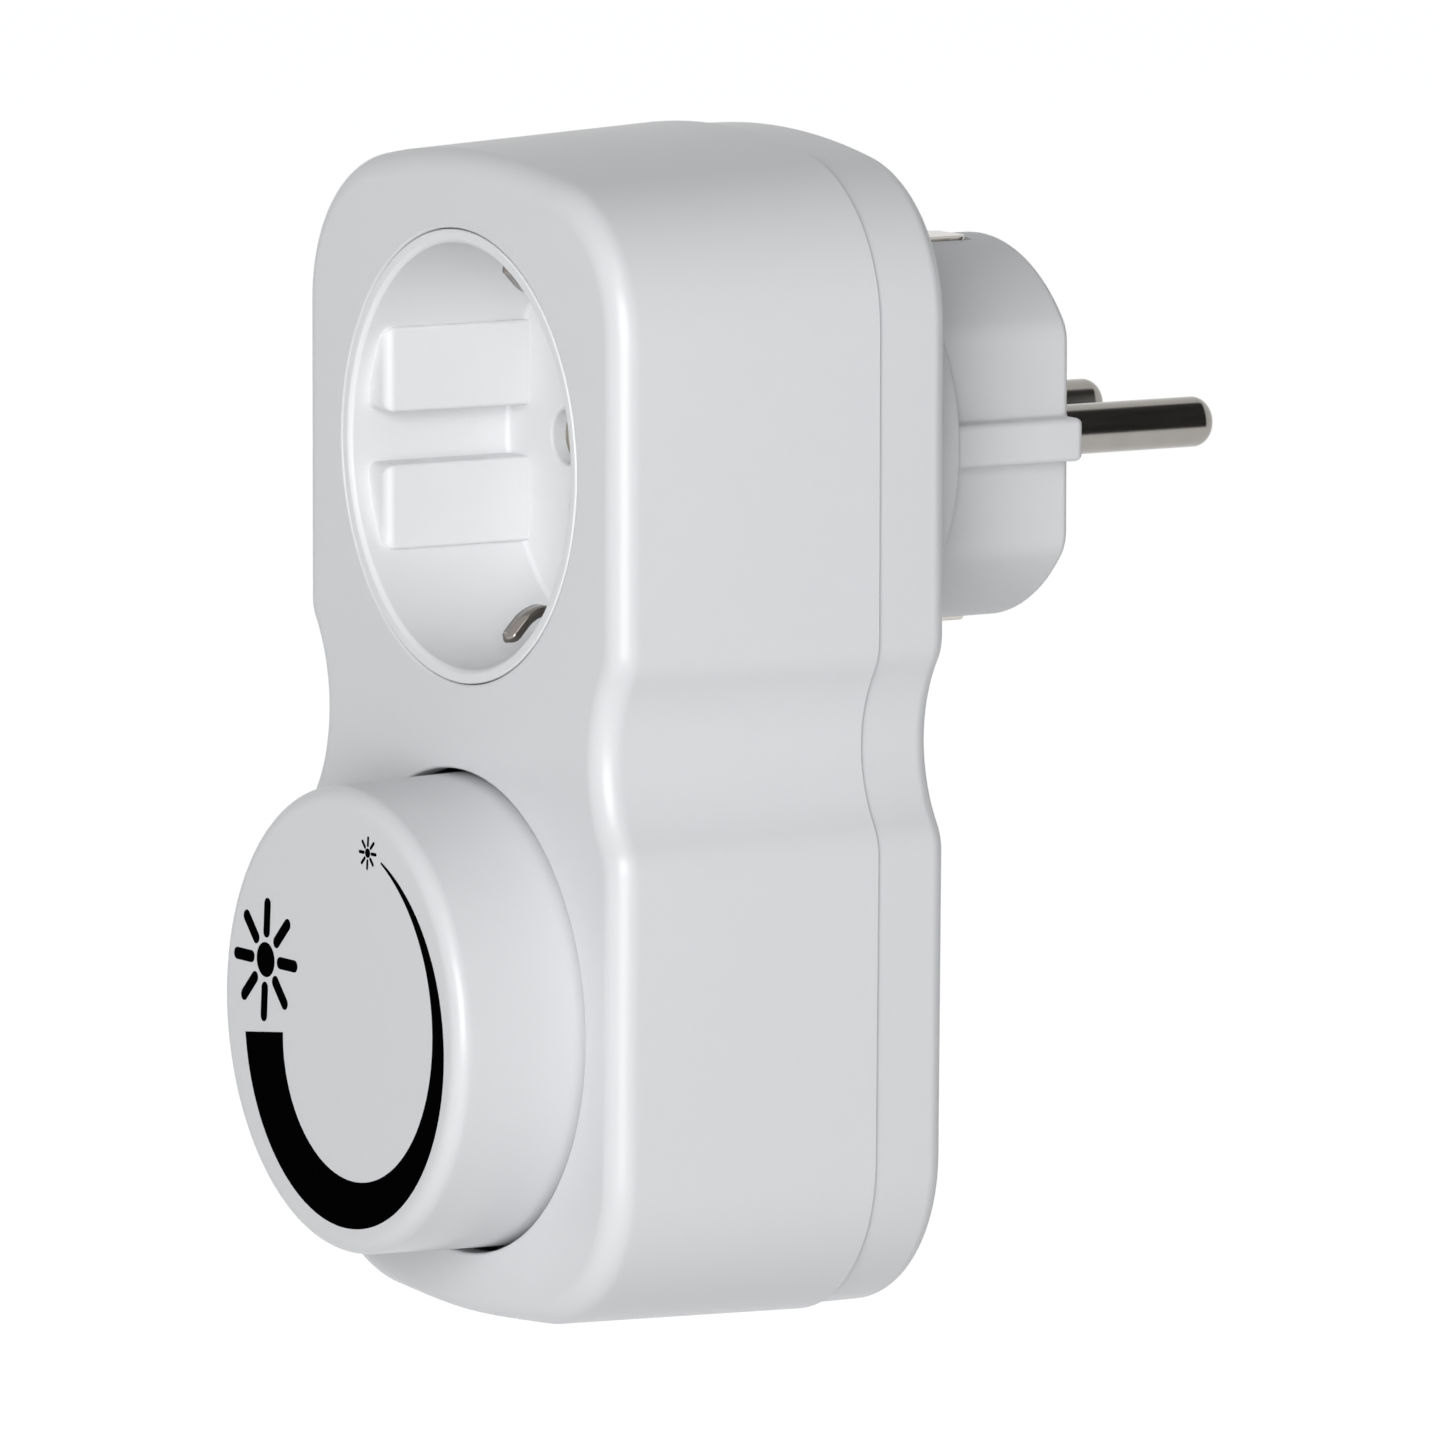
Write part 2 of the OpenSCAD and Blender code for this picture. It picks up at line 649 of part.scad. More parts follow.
module plug_body() color("gainsboro") face() difference() {
    union() {
        intersection() {
            rotate_extrude() rounded_corner(plug_r, rear_plate_out, plug_round);
            rotate([90, 0, 0]) linear_extrude(2 * plug_r, center = true) for (side = [0, 1])
                mirror([side, 0]) rounded_corner(plug_flat_w / 2, rear_plate_out, plug_round);
        }
        rotate([90, 0, 0]) linear_extrude(rib_w, center = true) for (side = [0, 1])
            mirror([side, 0]) rounded_corner(rib_span / 2, collar_out + bite, plug_round);
        post([0, 0], collar_r, collar_out, flange_out);
        post([0, 0], plug_flange_r, rear_plate_out, flange_out);
    }
    difference() {
        post([0, 0], plug_hollow_r, plug_end_t, flange_out + bite);
        for (side = [-1, 1]) post([side * pin_x, 0], pin_root_d / 2 + 2.6, 0, pin_root_len);
    }
    for (side = [-1, 1]) {
        post([side * pin_x, 0], pin_root_d / 2 + slip, -bite, pin_root_len + bite);
        translate([-pocket_w / 2, side > 0 ? pocket_floor : -2 * plug_r, pocket_start])
            cube([pocket_w, 2 * plug_r - pocket_floor, collar_out - pocket_start]);
        translate([
            -plug_strap_w / 2 - seat,
            side > 0 ? pocket_floor : -plug_strap_reach - seat,
            collar_out - bite
        ]) cube([plug_strap_w + 2 * seat, plug_strap_reach + seat - pocket_floor, 2 * plug_len]);
    }
}

module plug_pin(side) color("silver") face() translate([side * pin_x, 0, 0]) {
    translate([0, 0, -pin_len]) rotate_extrude() rounded_corner(pin_d / 2, pin_len, pin_round);
    cylinder(d = pin_root_d, h = pin_root_len);
    cylinder(d = pin_root_d - 1, h = tail_out);
}

module plug_pin_left() plug_pin(-1);
module plug_pin_right() plug_pin(1);

// Plug strap: two arms in the pockets and a bar across the plug's flange
module plug_earth_strap() color("silver") face() difference() {
    union() {
        for (side = [-1, 1])
            translate([
                -plug_strap_w / 2,
                side > 0 ? plug_strap_reach - strap_t : -plug_strap_reach,
                pocket_start + 2 * seat
            ]) cube([plug_strap_w, strap_t, plug_bar_out - pocket_start - 2 * seat]);
        translate([-plug_strap_w / 2, -plug_strap_reach, flange_out])
            cube([plug_strap_w, 2 * plug_strap_reach, strap_t]);
    }
    post([0, 0], rivet_d / 2 + slip, flange_out - bite, plug_bar_out + bite);
}

// Socket strap: each arm passes the carrier and ends in a bent clip in the recess
clip_arm = clip_reach - strap_t / 2;
clip_bend_out = front_out - clip_bend_depth;
clip_path = [
    [-bite, socket_bar_out - strap_t / 2], [clip_arm - 0.9, socket_bar_out - strap_t / 2],
    [clip_arm - 0.25, socket_bar_out - strap_t / 2 + 0.25], [clip_arm, socket_bar_out + 0.6],
    [clip_arm, floor_out + 1], [clip_arm - 0.5, floor_out + 3.2],
    [clip_bend + 1.5, clip_bend_out - 2.6], [clip_bend + 0.4, clip_bend_out - 1],
    [clip_bend, clip_bend_out], [clip_bend + 0.25, clip_bend_out + 1],
    [clip_bend + 0.75, clip_bend_out + 1.9], [clip_bend + 1.55, clip_bend_out + 2.7],
    [clip_bend + 2.3, clip_bend_out + 3.45], [clip_bend + 2.4, clip_bend_out + 4.1]
];
module socket_earth_strap() color("silver") face() difference() {
    for (side = [0, 1]) mirror([0, side, 0]) rotate([90, 0, 90])
        linear_extrude(socket_strap_w, center = true) polygon(strip(clip_path, strap_t));
    for (side = [0, 1]) mirror([side, 0, 0]) translate([clip_w / 2, -recess_r, floor_out + 0.8])
        cube([socket_strap_w, 2 * recess_r, recess_depth]);
    post([0, 0], rivet_d / 2 + slip, plug_bar_out - bite, socket_bar_out + bite);
}

module earth_rivet() color("silver") face() {
    post([0, 0], rivet_d / 2, flange_out - bite, socket_bar_out + bite);
    post([0, 0], rivet_d / 2 + 1, flange_out - rivet_head, flange_out);
    post([0, 0], rivet_d / 2 + 1, socket_bar_out, socket_bar_out + rivet_head);
}

// Flat guide block on one side of the recess, halved by its slot
module guide_block() {
    intersection() {
        translate([0, 0, floor_out - bite])
            linear_extrude(front_out - guide_setback - floor_out + bite) difference() {
                intersection() {
                    circle(recess_r + bite);
                    translate([guide_w / 2, -guide_half]) square([recess_r, 2 * guide_half]);
                }
                translate([0, -guide_slot / 2]) square([recess_r + 2 * bite, guide_slot]);
            }
        translate([recess_r + guide_w / 2, 0, front_out - guide_setback]) rotate([-90, 0, 180])
            linear_extrude(2 * recess_r, center = true)
                rounded_corner(recess_r, recess_depth + bite, guide_round);
    }
}

module socket_insert() color("white") face() difference() {
    union() {
        rotate_extrude() polygon([
            [0, cup_back], [rim_r, cup_back], [rim_r, plate_out - cup_flange_t],
            [cup_flange_r, plate_out - cup_flange_t], [cup_flange_r, plate_out],
            [rim_r, plate_out], [rim_r, front_out], [recess_r + rim_chamfer, front_out],
            [recess_r, front_out - rim_chamfer], [recess_r, floor_out], [0, floor_out]
        ]);
        for (side = [0, 1]) mirror([side, 0, 0]) guide_block();
        for (place = carrier_pegs) post(place, peg_d / 2, cup_back - peg_len, cup_back + bite);
    }
    for (side = [-1, 1]) {
        post([side * pin_x, 0], pin_hole_d / 2, cup_back - bite, floor_out + bite);
        translate([
            -socket_strap_w / 2 - gap,
            side > 0 ? clip_reach - strap_t - gap : -clip_reach - gap,
            cup_back - bite
        ]) cube([socket_strap_w + 2 * gap, strap_t + 2 * gap, floor_t + 2 * bite]);
    }
}

module contact_carrier() color("ivory") face() difference() {
    post([0, 0], carrier_r, carrier_back, cup_back);
    translate([-shutter_w / 2 - gap, -shutter_h / 2 - gap, pocket_back])
        cube([shutter_w + 2 * gap, pocket_top + shutter_h / 2 + gap, cup_back]);
    translate([-spring_r - spring_wire - gap, 0, pocket_back])
        cube([2 * (spring_r + spring_wire + gap), pocket_top + spring_room, cup_back]);
    for (side = [-1, 1])
        post([side * pin_x, 0], tulip_r + seat, carrier_back - bite, pocket_back + bite);
    for (place = carrier_pegs)
        post(place, peg_d / 2 + slip, cup_back - peg_len - seat, cup_back + bite);
}

// Tulip contact with four leaves; its wire lug is added by the caller
module tulip(side) color("silver") face() difference() {
    union() {
        post([side * pin_x, 0], tulip_r, tulip_back, tulip_front);
        post([side * pin_x, 0], tulip_flange_r, carrier_back - tulip_flange_t, carrier_back);
        children();
    }
    post([side * pin_x, 0], tulip_bore_r, tulip_back - bite, tulip_front + bite);
    for (turn = [0, 90]) translate([side * pin_x, 0, carrier_back + bite]) rotate(turn)
        translate([-tulip_r - bite, -0.4, 0]) cube([2 * (tulip_r + bite), 0.8, tulip_front]);
}

// Lug on the inner side, for the wire from the board
module socket_contact_left() tulip(-1)
    translate([-pin_x + tulip_r - 0.6, -tulip_lug, carrier_back - 3.4])
        cube([2.8, 2 * tulip_lug, 2]);

// Lug above, for the wire from the plug's pin
module socket_contact_right() tulip(1)
    translate([pin_x - 1.2, tulip_r - 0.6, tulip_back]) cube([2.4, 3, 1.2]);

// Shutter: the pins push on its sloped face and move it up
module shutter() color("white") face()
    rotate([90, 0, 90]) linear_extrude(shutter_w, center = true) polygon([
        [-shutter_h / 2, shutter_back], [shutter_h / 2, shutter_back],
        [shutter_h / 2, shutter_front], [-shutter_h / 2, shutter_front - shutter_slope]
    ]);

module shutter_spring() color("silver") face()
    translate([0, shutter_h / 2 + seat, (shutter_front + shutter_back) / 2]) rotate([-90, 0, 0])
        coil(spring_r, spring_wire / 2, shutter_travel + gap + spring_room - 2 * seat, 6);

module circuit_board() color("darkgreen") face() difference() {
    translate([0, 0, board_back]) linear_extrude(board_t) difference() {
        intersection() {
            polygon(outline(wall + lean(board_front) + board_gap));
            translate([-body_w / 2, -board_bottom]) square([body_w, board_bottom - board_top]);
        }
        for (place = screw_places) translate(place) circle(boss_r + board_gap);
    }
    post(knob_at, shaft_d / 2 + 2 * gap, board_back - bite, board_front + bite);
    for (place = board_screw_places)
        post(place, board_screw_d / 2 + gap, board_back - bite, board_front + bite);
}

module board_screws() color("silver") face() for (place = board_screw_places) {
    post(place, board_screw_d, board_back - board_screw_head_h, board_back);
    post(place, board_screw_d / 2, board_back - bite, board_front + board_screw_len);
}

module pot_case() color("dimgray") face() difference() {
    post(knob_at, pot_d / 2, board_front, pot_front);
    post(knob_at, pot_d / 2 - pot_wall, board_front + pot_wall, pot_front - pot_wall);
    post(knob_at, shaft_d / 2 + gap, board_front - bite, pot_front + bite);
}

module pot_bushing() color("silver") face() difference() {
    post(knob_at, bushing_r, pot_front, bushing_top);
    post(knob_at, shaft_d / 2 + slip, pot_front - bite, bushing_top + bite);
}

// Rotor: keyed to the shaft by a flat, so that the shaft can slide in it
module pot_rotor() color("tan") face() difference() {
    post(knob_at, pot_d / 2 - pot_wall - gap, board_front + pot_wall + gap, pot_front - pot_wall - gap);
    difference() {
        post(knob_at, shaft_d / 2 + slip, board_front, pot_front);
        translate([shaft_d / 2 - shaft_flat + slip, -knob_drop - shaft_d, board_front - bite])
            cube([shaft_d, 2 * shaft_d, pot_h + 2 * bite]);
    }
}

module control_shaft() color("gray") face() {
    difference() {
        post(knob_at, shaft_d / 2, shaft_end, shaft_top);
        translate([shaft_d / 2 - shaft_flat, -knob_drop - shaft_d, shaft_end - bite])
            cube([shaft_d, 2 * shaft_d, pot_h + knob_travel]);
    }
    post(knob_at, stub_r, stub_end, shaft_end + bite);
}

module knob_section() {
    inside = knob_front - knob_face_t;
    difference() {
        union() {
            polygon([
                [0, skirt_end], [knob_base_r, skirt_end], [knob_face_r, knob_front - knob_round],
                [0, knob_front - knob_round]
            ]);
            translate([0, knob_front]) mirror([0, 1])
                rounded_corner(knob_face_r, 2 * knob_round, knob_round);
        }
        polygon([
            [hub_r, skirt_end - bite], [knob_base_r - knob_wall, skirt_end - bite],
            [knob_face_r - knob_wall, inside], [hub_r, inside]
        ]);
        translate([0, skirt_end - bite])
            square([shaft_d / 2 + slip, shaft_top + seat - skirt_end + bite]);
    }
}
module dimmer_knob() color("whitesmoke") face() translate([knob_at[0], knob_at[1], 0]) {
    rotate_extrude() knob_section();
    for (turn = [45 : 90 : 315]) rotate(turn)
        translate([hub_r - bite, -0.6, front_out + 2])
            cube([knob_face_r - knob_wall - hub_r + 2 * bite, 1.2, knob_proud - knob_face_t - 2 + bite]);
}

module switch_case() color("dimgray") face() difference() {
    translate([-switch_w / 2, -knob_drop - switch_w / 2, switch_back])
        cube([switch_w, switch_w, switch_h]);
    post(knob_at, plunger_r + slip, switch_back + switch_floor, board_back + bite);
}

module switch_plunger() color("firebrick") face()
    post(knob_at, plunger_r, plunger_tip - plunger_len, plunger_tip);

module switch_spring() color("silver") face()
    translate([knob_at[0], knob_at[1], switch_back + switch_floor + seat])
        coil(plunger_r - 0.8, 0.2, plunger_tip - plunger_len - switch_back - switch_floor - 2 * seat, 4);

module heat_sink() color("silver") face() difference() {
    union() {
        translate([sink_x, -sink_top - sink_len, board_front]) cube([sink_t, sink_len, sink_h]);
        for (end = [sink_len, sink_foot]) translate([sink_x, -sink_top - end, board_front])
            cube([sink_t + sink_foot, sink_foot, sink_t]);
    }
    translate([sink_x - bite, triac_hole[0], triac_hole[1]]) rotate([0, 90, 0])
        cylinder(d = triac_screw_d + 2 * seat, h = sink_t + 2 * bite);
}

// Power switch on the heat sink: moulded body, metal tab and three leads to the board
module triac() color("dimgray") face() difference() {
    union() {
        translate([sink_x - triac_t, -triac_drop, board_front + triac_lift])
            cube([triac_t, triac_len, triac_w]);
        translate([sink_x - triac_tab_t, -triac_drop + bite, board_front + triac_lift])
            cube([triac_tab_t, triac_len + triac_tab_len - bite, triac_w]);
        for (i = [0 : 2])
            translate([sink_x - triac_t + 0.6 + 1.1 * i, -triac_drop - 0.8, board_front])
                cube([0.6, 0.8 + bite, triac_lift + 3]);
    }
    translate([sink_x - triac_t, triac_hole[0], triac_hole[1]]) rotate([0, 90, 0])
        cylinder(d = triac_screw_d + 2 * seat, h = triac_t + bite);
}

module triac_screw() color("silver") face()
    translate([sink_x - triac_tab_t, triac_hole[0], triac_hole[1]]) rotate([0, 90, 0]) {
        translate([0, 0, -2]) cylinder(d = triac_screw_d + 2.2, h = 2);
        cylinder(d = triac_screw_d, h = triac_tab_t + sink_t + 2.4);
        translate([0, 0, triac_tab_t + sink_t]) cylinder(d = triac_screw_d + 2.8, h = 2, $fn = 6);
    }

module suppression_choke() color("goldenrod") face()
    translate([choke_x, -board_top - choke_down, board_front + choke_wire_r])
        rotate_extrude() translate([choke_r, 0]) circle(choke_wire_r);

module film_capacitor() color("khaki") face()
    translate([-capacitor_x - capacitor_w / 2, -board_top - capacitor_down - capacitor_t / 2, board_front])
        cube([capacitor_w, capacitor_t, capacitor_h]);

module fuse() color("lightblue") face()
    translate([-fuse_x, -fuse_drop - fuse_len / 2, board_front + fuse_lift]) rotate([-90, 0, 0]) {
        cylinder(r = fuse_r - 0.2, h = fuse_len);
        for (end = [0, fuse_len - fuse_cap]) translate([0, 0, end]) cylinder(r = fuse_r, h = fuse_cap);
    }

// Two spring clips that hold the fuse by its caps
module fuse_clips() color("silver") face()
    for (end = [-1, 1])
        translate([-fuse_x, -fuse_drop + end * (fuse_len - fuse_cap) / 2, board_front + fuse_lift])
            rotate([90, 0, 0]) linear_extrude(fuse_cap - 1, center = true) difference() {
                union() {
                    circle(fuse_r + 0.6);
                    translate([-1, -fuse_lift]) square([2, fuse_lift]);
                    translate([-fuse_r, -fuse_lift]) square([2 * fuse_r, 0.6]);
                }
                circle(fuse_r + slip);
                translate([-fuse_r, 1]) square(2 * fuse_r);
            }

// Axial parts: a body on a lead whose ends go down to the board
module small_components() color("burlywood") face() for (row = [0 : 2])
    translate([0, -knob_drop - axial_below - row * axial_step, board_front + axial_d / 2 + seat]) {
        rotate([0, 90, 0]) {
            cylinder(d = axial_d, h = axial_len, center = true);
            cylinder(d = lead_d, h = axial_len + 2 * lead_out, center = true);
        }
        for (side = [-1, 1])
            translate([side * (axial_len / 2 + lead_out - lead_d / 2), 0, -axial_d / 2 - seat])
                cylinder(d = lead_d, h = axial_d / 2 + seat);
    }

module live_wire() color("saddlebrown") face() wire(live_route, wire_d / 2);
module load_wire() color("black") face() wire(load_route, wire_d / 2);
module neutral_wire() color("royalblue") face() wire(neutral_route, wire_d / 2);

front_housing();
rear_cover();
housing_screws();
plug_body();
plug_pin_left();
plug_pin_right();
plug_earth_strap();
socket_earth_strap();
earth_rivet();
socket_insert();
contact_carrier();
socket_contact_left();
socket_contact_right();
shutter();
shutter_spring();
circuit_board();
board_screws();
pot_case();
pot_bushing();
pot_rotor();
control_shaft();
dimmer_knob();
switch_case();
switch_plunger();
switch_spring();
triac();
heat_sink();
triac_screw();
suppression_choke();
film_capacitor();
fuse();
fuse_clips();
small_components();
live_wire();
load_wire();
neutral_wire();
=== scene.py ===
"""Looks of the plug-in dimmer: smooth mouldings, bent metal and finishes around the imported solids.

Sizes are millimetres in the front view: x to the right, y up from the socket axis, and out from the
plug's pin face towards the viewer. at() turns such a point into the object's own frame in metres.
"""
import math

import bmesh
import bpy
from mathutils import Matrix, Vector
from mathutils.geometry import delaunay_2d_cdt


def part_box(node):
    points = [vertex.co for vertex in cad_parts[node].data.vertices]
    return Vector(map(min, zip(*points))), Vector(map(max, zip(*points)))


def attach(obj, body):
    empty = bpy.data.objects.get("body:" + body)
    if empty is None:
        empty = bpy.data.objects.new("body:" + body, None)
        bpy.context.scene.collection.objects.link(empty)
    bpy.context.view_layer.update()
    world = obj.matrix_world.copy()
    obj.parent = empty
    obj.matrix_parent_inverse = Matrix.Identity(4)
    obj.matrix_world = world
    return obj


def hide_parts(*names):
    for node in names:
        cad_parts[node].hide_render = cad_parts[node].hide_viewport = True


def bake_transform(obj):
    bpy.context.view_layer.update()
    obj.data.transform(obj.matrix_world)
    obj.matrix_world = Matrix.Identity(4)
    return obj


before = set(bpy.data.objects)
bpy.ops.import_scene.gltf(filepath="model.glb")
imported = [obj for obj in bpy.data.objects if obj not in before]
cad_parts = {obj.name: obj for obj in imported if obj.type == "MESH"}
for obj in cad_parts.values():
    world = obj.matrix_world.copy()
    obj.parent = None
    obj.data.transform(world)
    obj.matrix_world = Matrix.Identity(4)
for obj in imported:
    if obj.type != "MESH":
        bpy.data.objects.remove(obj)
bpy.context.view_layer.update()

MM = 0.001

# Body, as in the part's source
BODY_W, BODY_TOP, BODY_BOTTOM = 59.0, 29.9, -80.7
TOP_R, CROWN_R, BASE_R, BASE_IN = 15.6, 88.0, 16.1, 0.3
WAIST_Y, WAIST_IN, WAIST_R, SHOULDER_R = -26.05, 3.1, 12.6, 5.5
WALL, REAR_STEP, DRAFT = 2.0, 0.4, 0.9
FRONT_ROUND, REAR_ROUND = 2.5, 1.8
REAR, REAR_PLATE, SEAM, PLATE, FRONT = 22.4, 24.4, 30.3, 56.2, 58.2
LIP_IN, LIP_T, LIP_H = 2.25, 1.2, 2.5
SEAM_BREAK, HOLE_SOFT = 0.085, 0.3

# Towards the front the base bulges and the top slopes down; fitted to the photo, not in the source
BULGE_X, BULGE, TOP_SINK = 21.0, 1.5, 0.4

# Screws that hold the rear cover
SCREW_INSET, SCREW_BORE, HEAD_BORE = 6.2, 1.75, 2.9
HEAD_SEAT, POST_END, BOSS_END = 28.0, 34.1, 34.3
BOSS_R, POST_R, BOSS_BORE = 3.0, 3.5, 1.5
BOSS_SUNK, POST_STEP = 0.5, 0.7

# Socket
SOCKET_HOLE, RIM_R, RECESS_R, RIM_CHAMFER = 21.3, 21.2, 19.9, 0.4
CUP_FLANGE_R, CUP_FLANGE_T, RIM_BREAK = 23.0, 1.6, 0.12
FLOOR, CUP_BACK, FLOOR_ROUND = 40.7, 39.1, 0.5
PIN_X, PIN_HOLE_R, PIN_HOLE_SOFT = 9.5, 2.6, 0.35
CLIP_SLOT_HALF, CLIP_SLOT_NEAR, CLIP_SLOT_FAR = 2.5, 17.1, 18.6
GUIDE_X, GUIDE_HALF, GUIDE_SLOT, GUIDE_FRONT, GUIDE_ROUND = 16.2, 10.5, 2.45, 56.3, 1.0
GUIDE_CORNER, GUIDE_SUNK = 0.4, 0.3

# Plug; its pockets are shorter and narrower than in the source, as the photo shows them
PLUG_R, PLUG_FLAT, RIB_X, RIB_HALF, PLUG_ROUND = 18.2, 15.05, 17.65, 2.05, 0.8
PLUG_CHEEK, RIB_CORNER, RIB_ROOT = 4.0, 0.6, 0.3
POCKET_EDGE, POCKET_HALF, POCKET_FOOT, POCKET_FLOOR, POCKET_START = 4.0, 3.3, 3.2, 17.3, 3.4
STRAP_SLOT, STRAP_TOP = 3.1, 18.4
COLLAR_R, COLLAR, COLLAR_ROUND, COLLAR_GAP, COLLAR_HOLE_SOFT = 19.2, 14.8, 0.4, 0.1, 0.4
PLUG_FLANGE_R, PLUG_FLANGE_START, PLUG_TOP = 20.8, REAR + 2, 26.4
HOLLOW_R, HOLLOW_FLOOR, PIN_POST_R = 13.5, 6.0, 3.9
PIN_R, PIN_LEN, PIN_ROUND, PIN_ROOT_R, PIN_ROOT_END, PIN_TAIL = 2.4, 19.0, 1.6, 2.0, 12.0, 15.0
PIN_SHOULDER, PIN_SHOULDER_GAP, PIN_GAP, PIN_HOLE_EDGE, PIN_NECK_IN = 0.8, 0.1, 0.05, 0.25, 0.5

# Knob
KNOB_Y, KNOB_HOLE = -52.1, 22.75
KNOB_BASE_R, KNOB_FACE_R, KNOB_ROUND, SKIRT_END, KNOB_FACE = 22.3, 21.9, 1.6, 54.7, 71.2
KNOB_WALL, KNOB_INSIDE, HUB_R, SHAFT_BORE, BORE_END = 1.8, 69.0, 5.2, 3.05, 67.7
SKIRT_BREAK, INK = 0.3, 0.03

# Print on the knob: a crescent, angles in degrees, and a large and a small sun
CRESCENT_X, CRESCENT_Y, CRESCENT_R = 0.95, -53.15, 18.28
CRESCENT_START, CRESCENT_END, CRESCENT_STEPS = 67.6, -173.4, 120
CRESCENT_THIN_R, CRESCENT_THICK_R = 18.08, 11.25
SUNS = ((-13.4, -47.97, 1.0), (5.48, -35.7, 0.27))
SUN_DOT_R, SUN_RAY_HALF, SUN_RAY_START, SUN_RAY_END, SUN_LEAN = 1.65, 0.58, 2.1, 5.9, 0.07

# Straps and springs
STRAP_T, STRAP_SOFT, STRAP_END_ROUND, STRAP_HALF = 0.9, 0.18, 0.8, 3.0
CLIP_HALF, CLIP_FOOT_HALF, CLIP_NECK = 1.1, 2.2, FLOOR + 0.9
SPRING_STEPS, WIRE_SIDES = 24, 8

# Length of the fuse's caps, in metres
FUSE_CAP = 0.005

# Studio, in metres and degrees
FLOOR_Z, FLOOR_REACH = -0.22, 6
FLAG_R, FLAG_NEAR, FLAG_FAR, FLAG_TURNS = 0.045, 0.019, 0.06, range(-21, 100, 12)
LAMP_AIM = (0, -0.035, -0.025)

# The photo's camera: degrees, millimetres of lens, metres; the shifts put the object off the middle
CAMERA_TURN, CAMERA_RISE, CAMERA_ROLL = 58.385, 7.19, 0.075
CAMERA_LENS, CAMERA_SENSOR, CAMERA_AT = 374.2, 36.0, (1.1940, -0.7700, 0.1519)
SHIFT_RIGHT, SHIFT_UP = 0.003536, 0.001047


def at(x, y, out):
    """A point of the front view in the object's own frame."""
    return Vector((x, -out, y)) * MM


# Outlines in the front view

def arc(x, y, r, start, end, steps, first=0, last=0):
    """Points of an arc, angles in degrees; first and last count the points left off its ends."""
    turns = [math.radians(start + (end - start) * i / steps) for i in range(first, steps + 1 - last)]
    return [(x + r * math.cos(t), y + r * math.sin(t)) for t in turns]


def circle(x, y, r, steps=144):
    return arc(x, y, r, 0, 360, steps, 0, 1)


def disc_at(x, y, steps=144):
    """Circles of any radius about one point."""
    return lambda r: circle(x, y, r, steps)


def mirrored(side):
    """A right-hand side from bottom to top, closed by its mirror image on the left."""
    return side + [(-x, y) for x, y in reversed(side) if x > 1e-6]


WAIST_SUM = WAIST_R + SHOULDER_R
WAIST_TURN = math.degrees(math.acos(1 - WAIST_IN / WAIST_SUM))
WAIST_HALF = WAIST_SUM * math.sin(math.radians(WAIST_TURN))
CORNER_X = BODY_W / 2 - TOP_R
CROWN_TURN = math.degrees(math.asin(CORNER_X / (CROWN_R - TOP_R)))
CORNER_Y = BODY_TOP - CROWN_R + (CROWN_R - TOP_R) * math.cos(math.radians(CROWN_TURN))
BASE_X, BASE_Y = BODY_W / 2 - BASE_IN - BASE_R, BODY_BOTTOM + BASE_R


def body(inset, sag=0.0, sink=0.0):
    """Outline of the body with its waist, moved in by an inset.

    Its base bulges by a sag, and its top lies lower by a sink.
    """
    shoulder_x = BODY_W / 2 - SHOULDER_R
    waist_x = BODY_W / 2 - WAIST_IN + WAIST_R
    lower, upper = WAIST_Y - WAIST_HALF, WAIST_Y + WAIST_HALF
    base = [(BASE_X * i / 8, BODY_BOTTOM + inset) for i in range(8)]
    base += arc(BASE_X, BASE_Y, BASE_R - inset, -90, 0, 28)
    return mirrored(
        [(x, y - sag * math.cos(math.pi / 2 * min(x / BULGE_X, 1)) ** 2) for x, y in base]
        + arc(shoulder_x, lower, SHOULDER_R - inset, 0, WAIST_TURN, 10)
        + arc(waist_x, WAIST_Y, WAIST_R + inset, 180 + WAIST_TURN, 180 - WAIST_TURN, 18, 1, 1)
        + arc(shoulder_x, upper, SHOULDER_R - inset, -WAIST_TURN, 0, 10)
        + arc(CORNER_X, CORNER_Y - sink, TOP_R - inset, 0, 90 - CROWN_TURN, 26)
        + arc(0, BODY_TOP - CROWN_R - sink, CROWN_R - inset, 90 - CROWN_TURN, 90, 8, 1)
    )


def screw_places():
    """Centres of the four housing screws, on the diagonals of the body's corners."""
    top, base = (TOP_R - SCREW_INSET) * math.sqrt(0.5), (BASE_R - SCREW_INSET) * math.sqrt(0.5)
    return [
        place for side in (-1, 1) for place in
        ((side * (CORNER_X + top), CORNER_Y + top), (side * (BASE_X + base), BASE_Y - base))
    ]


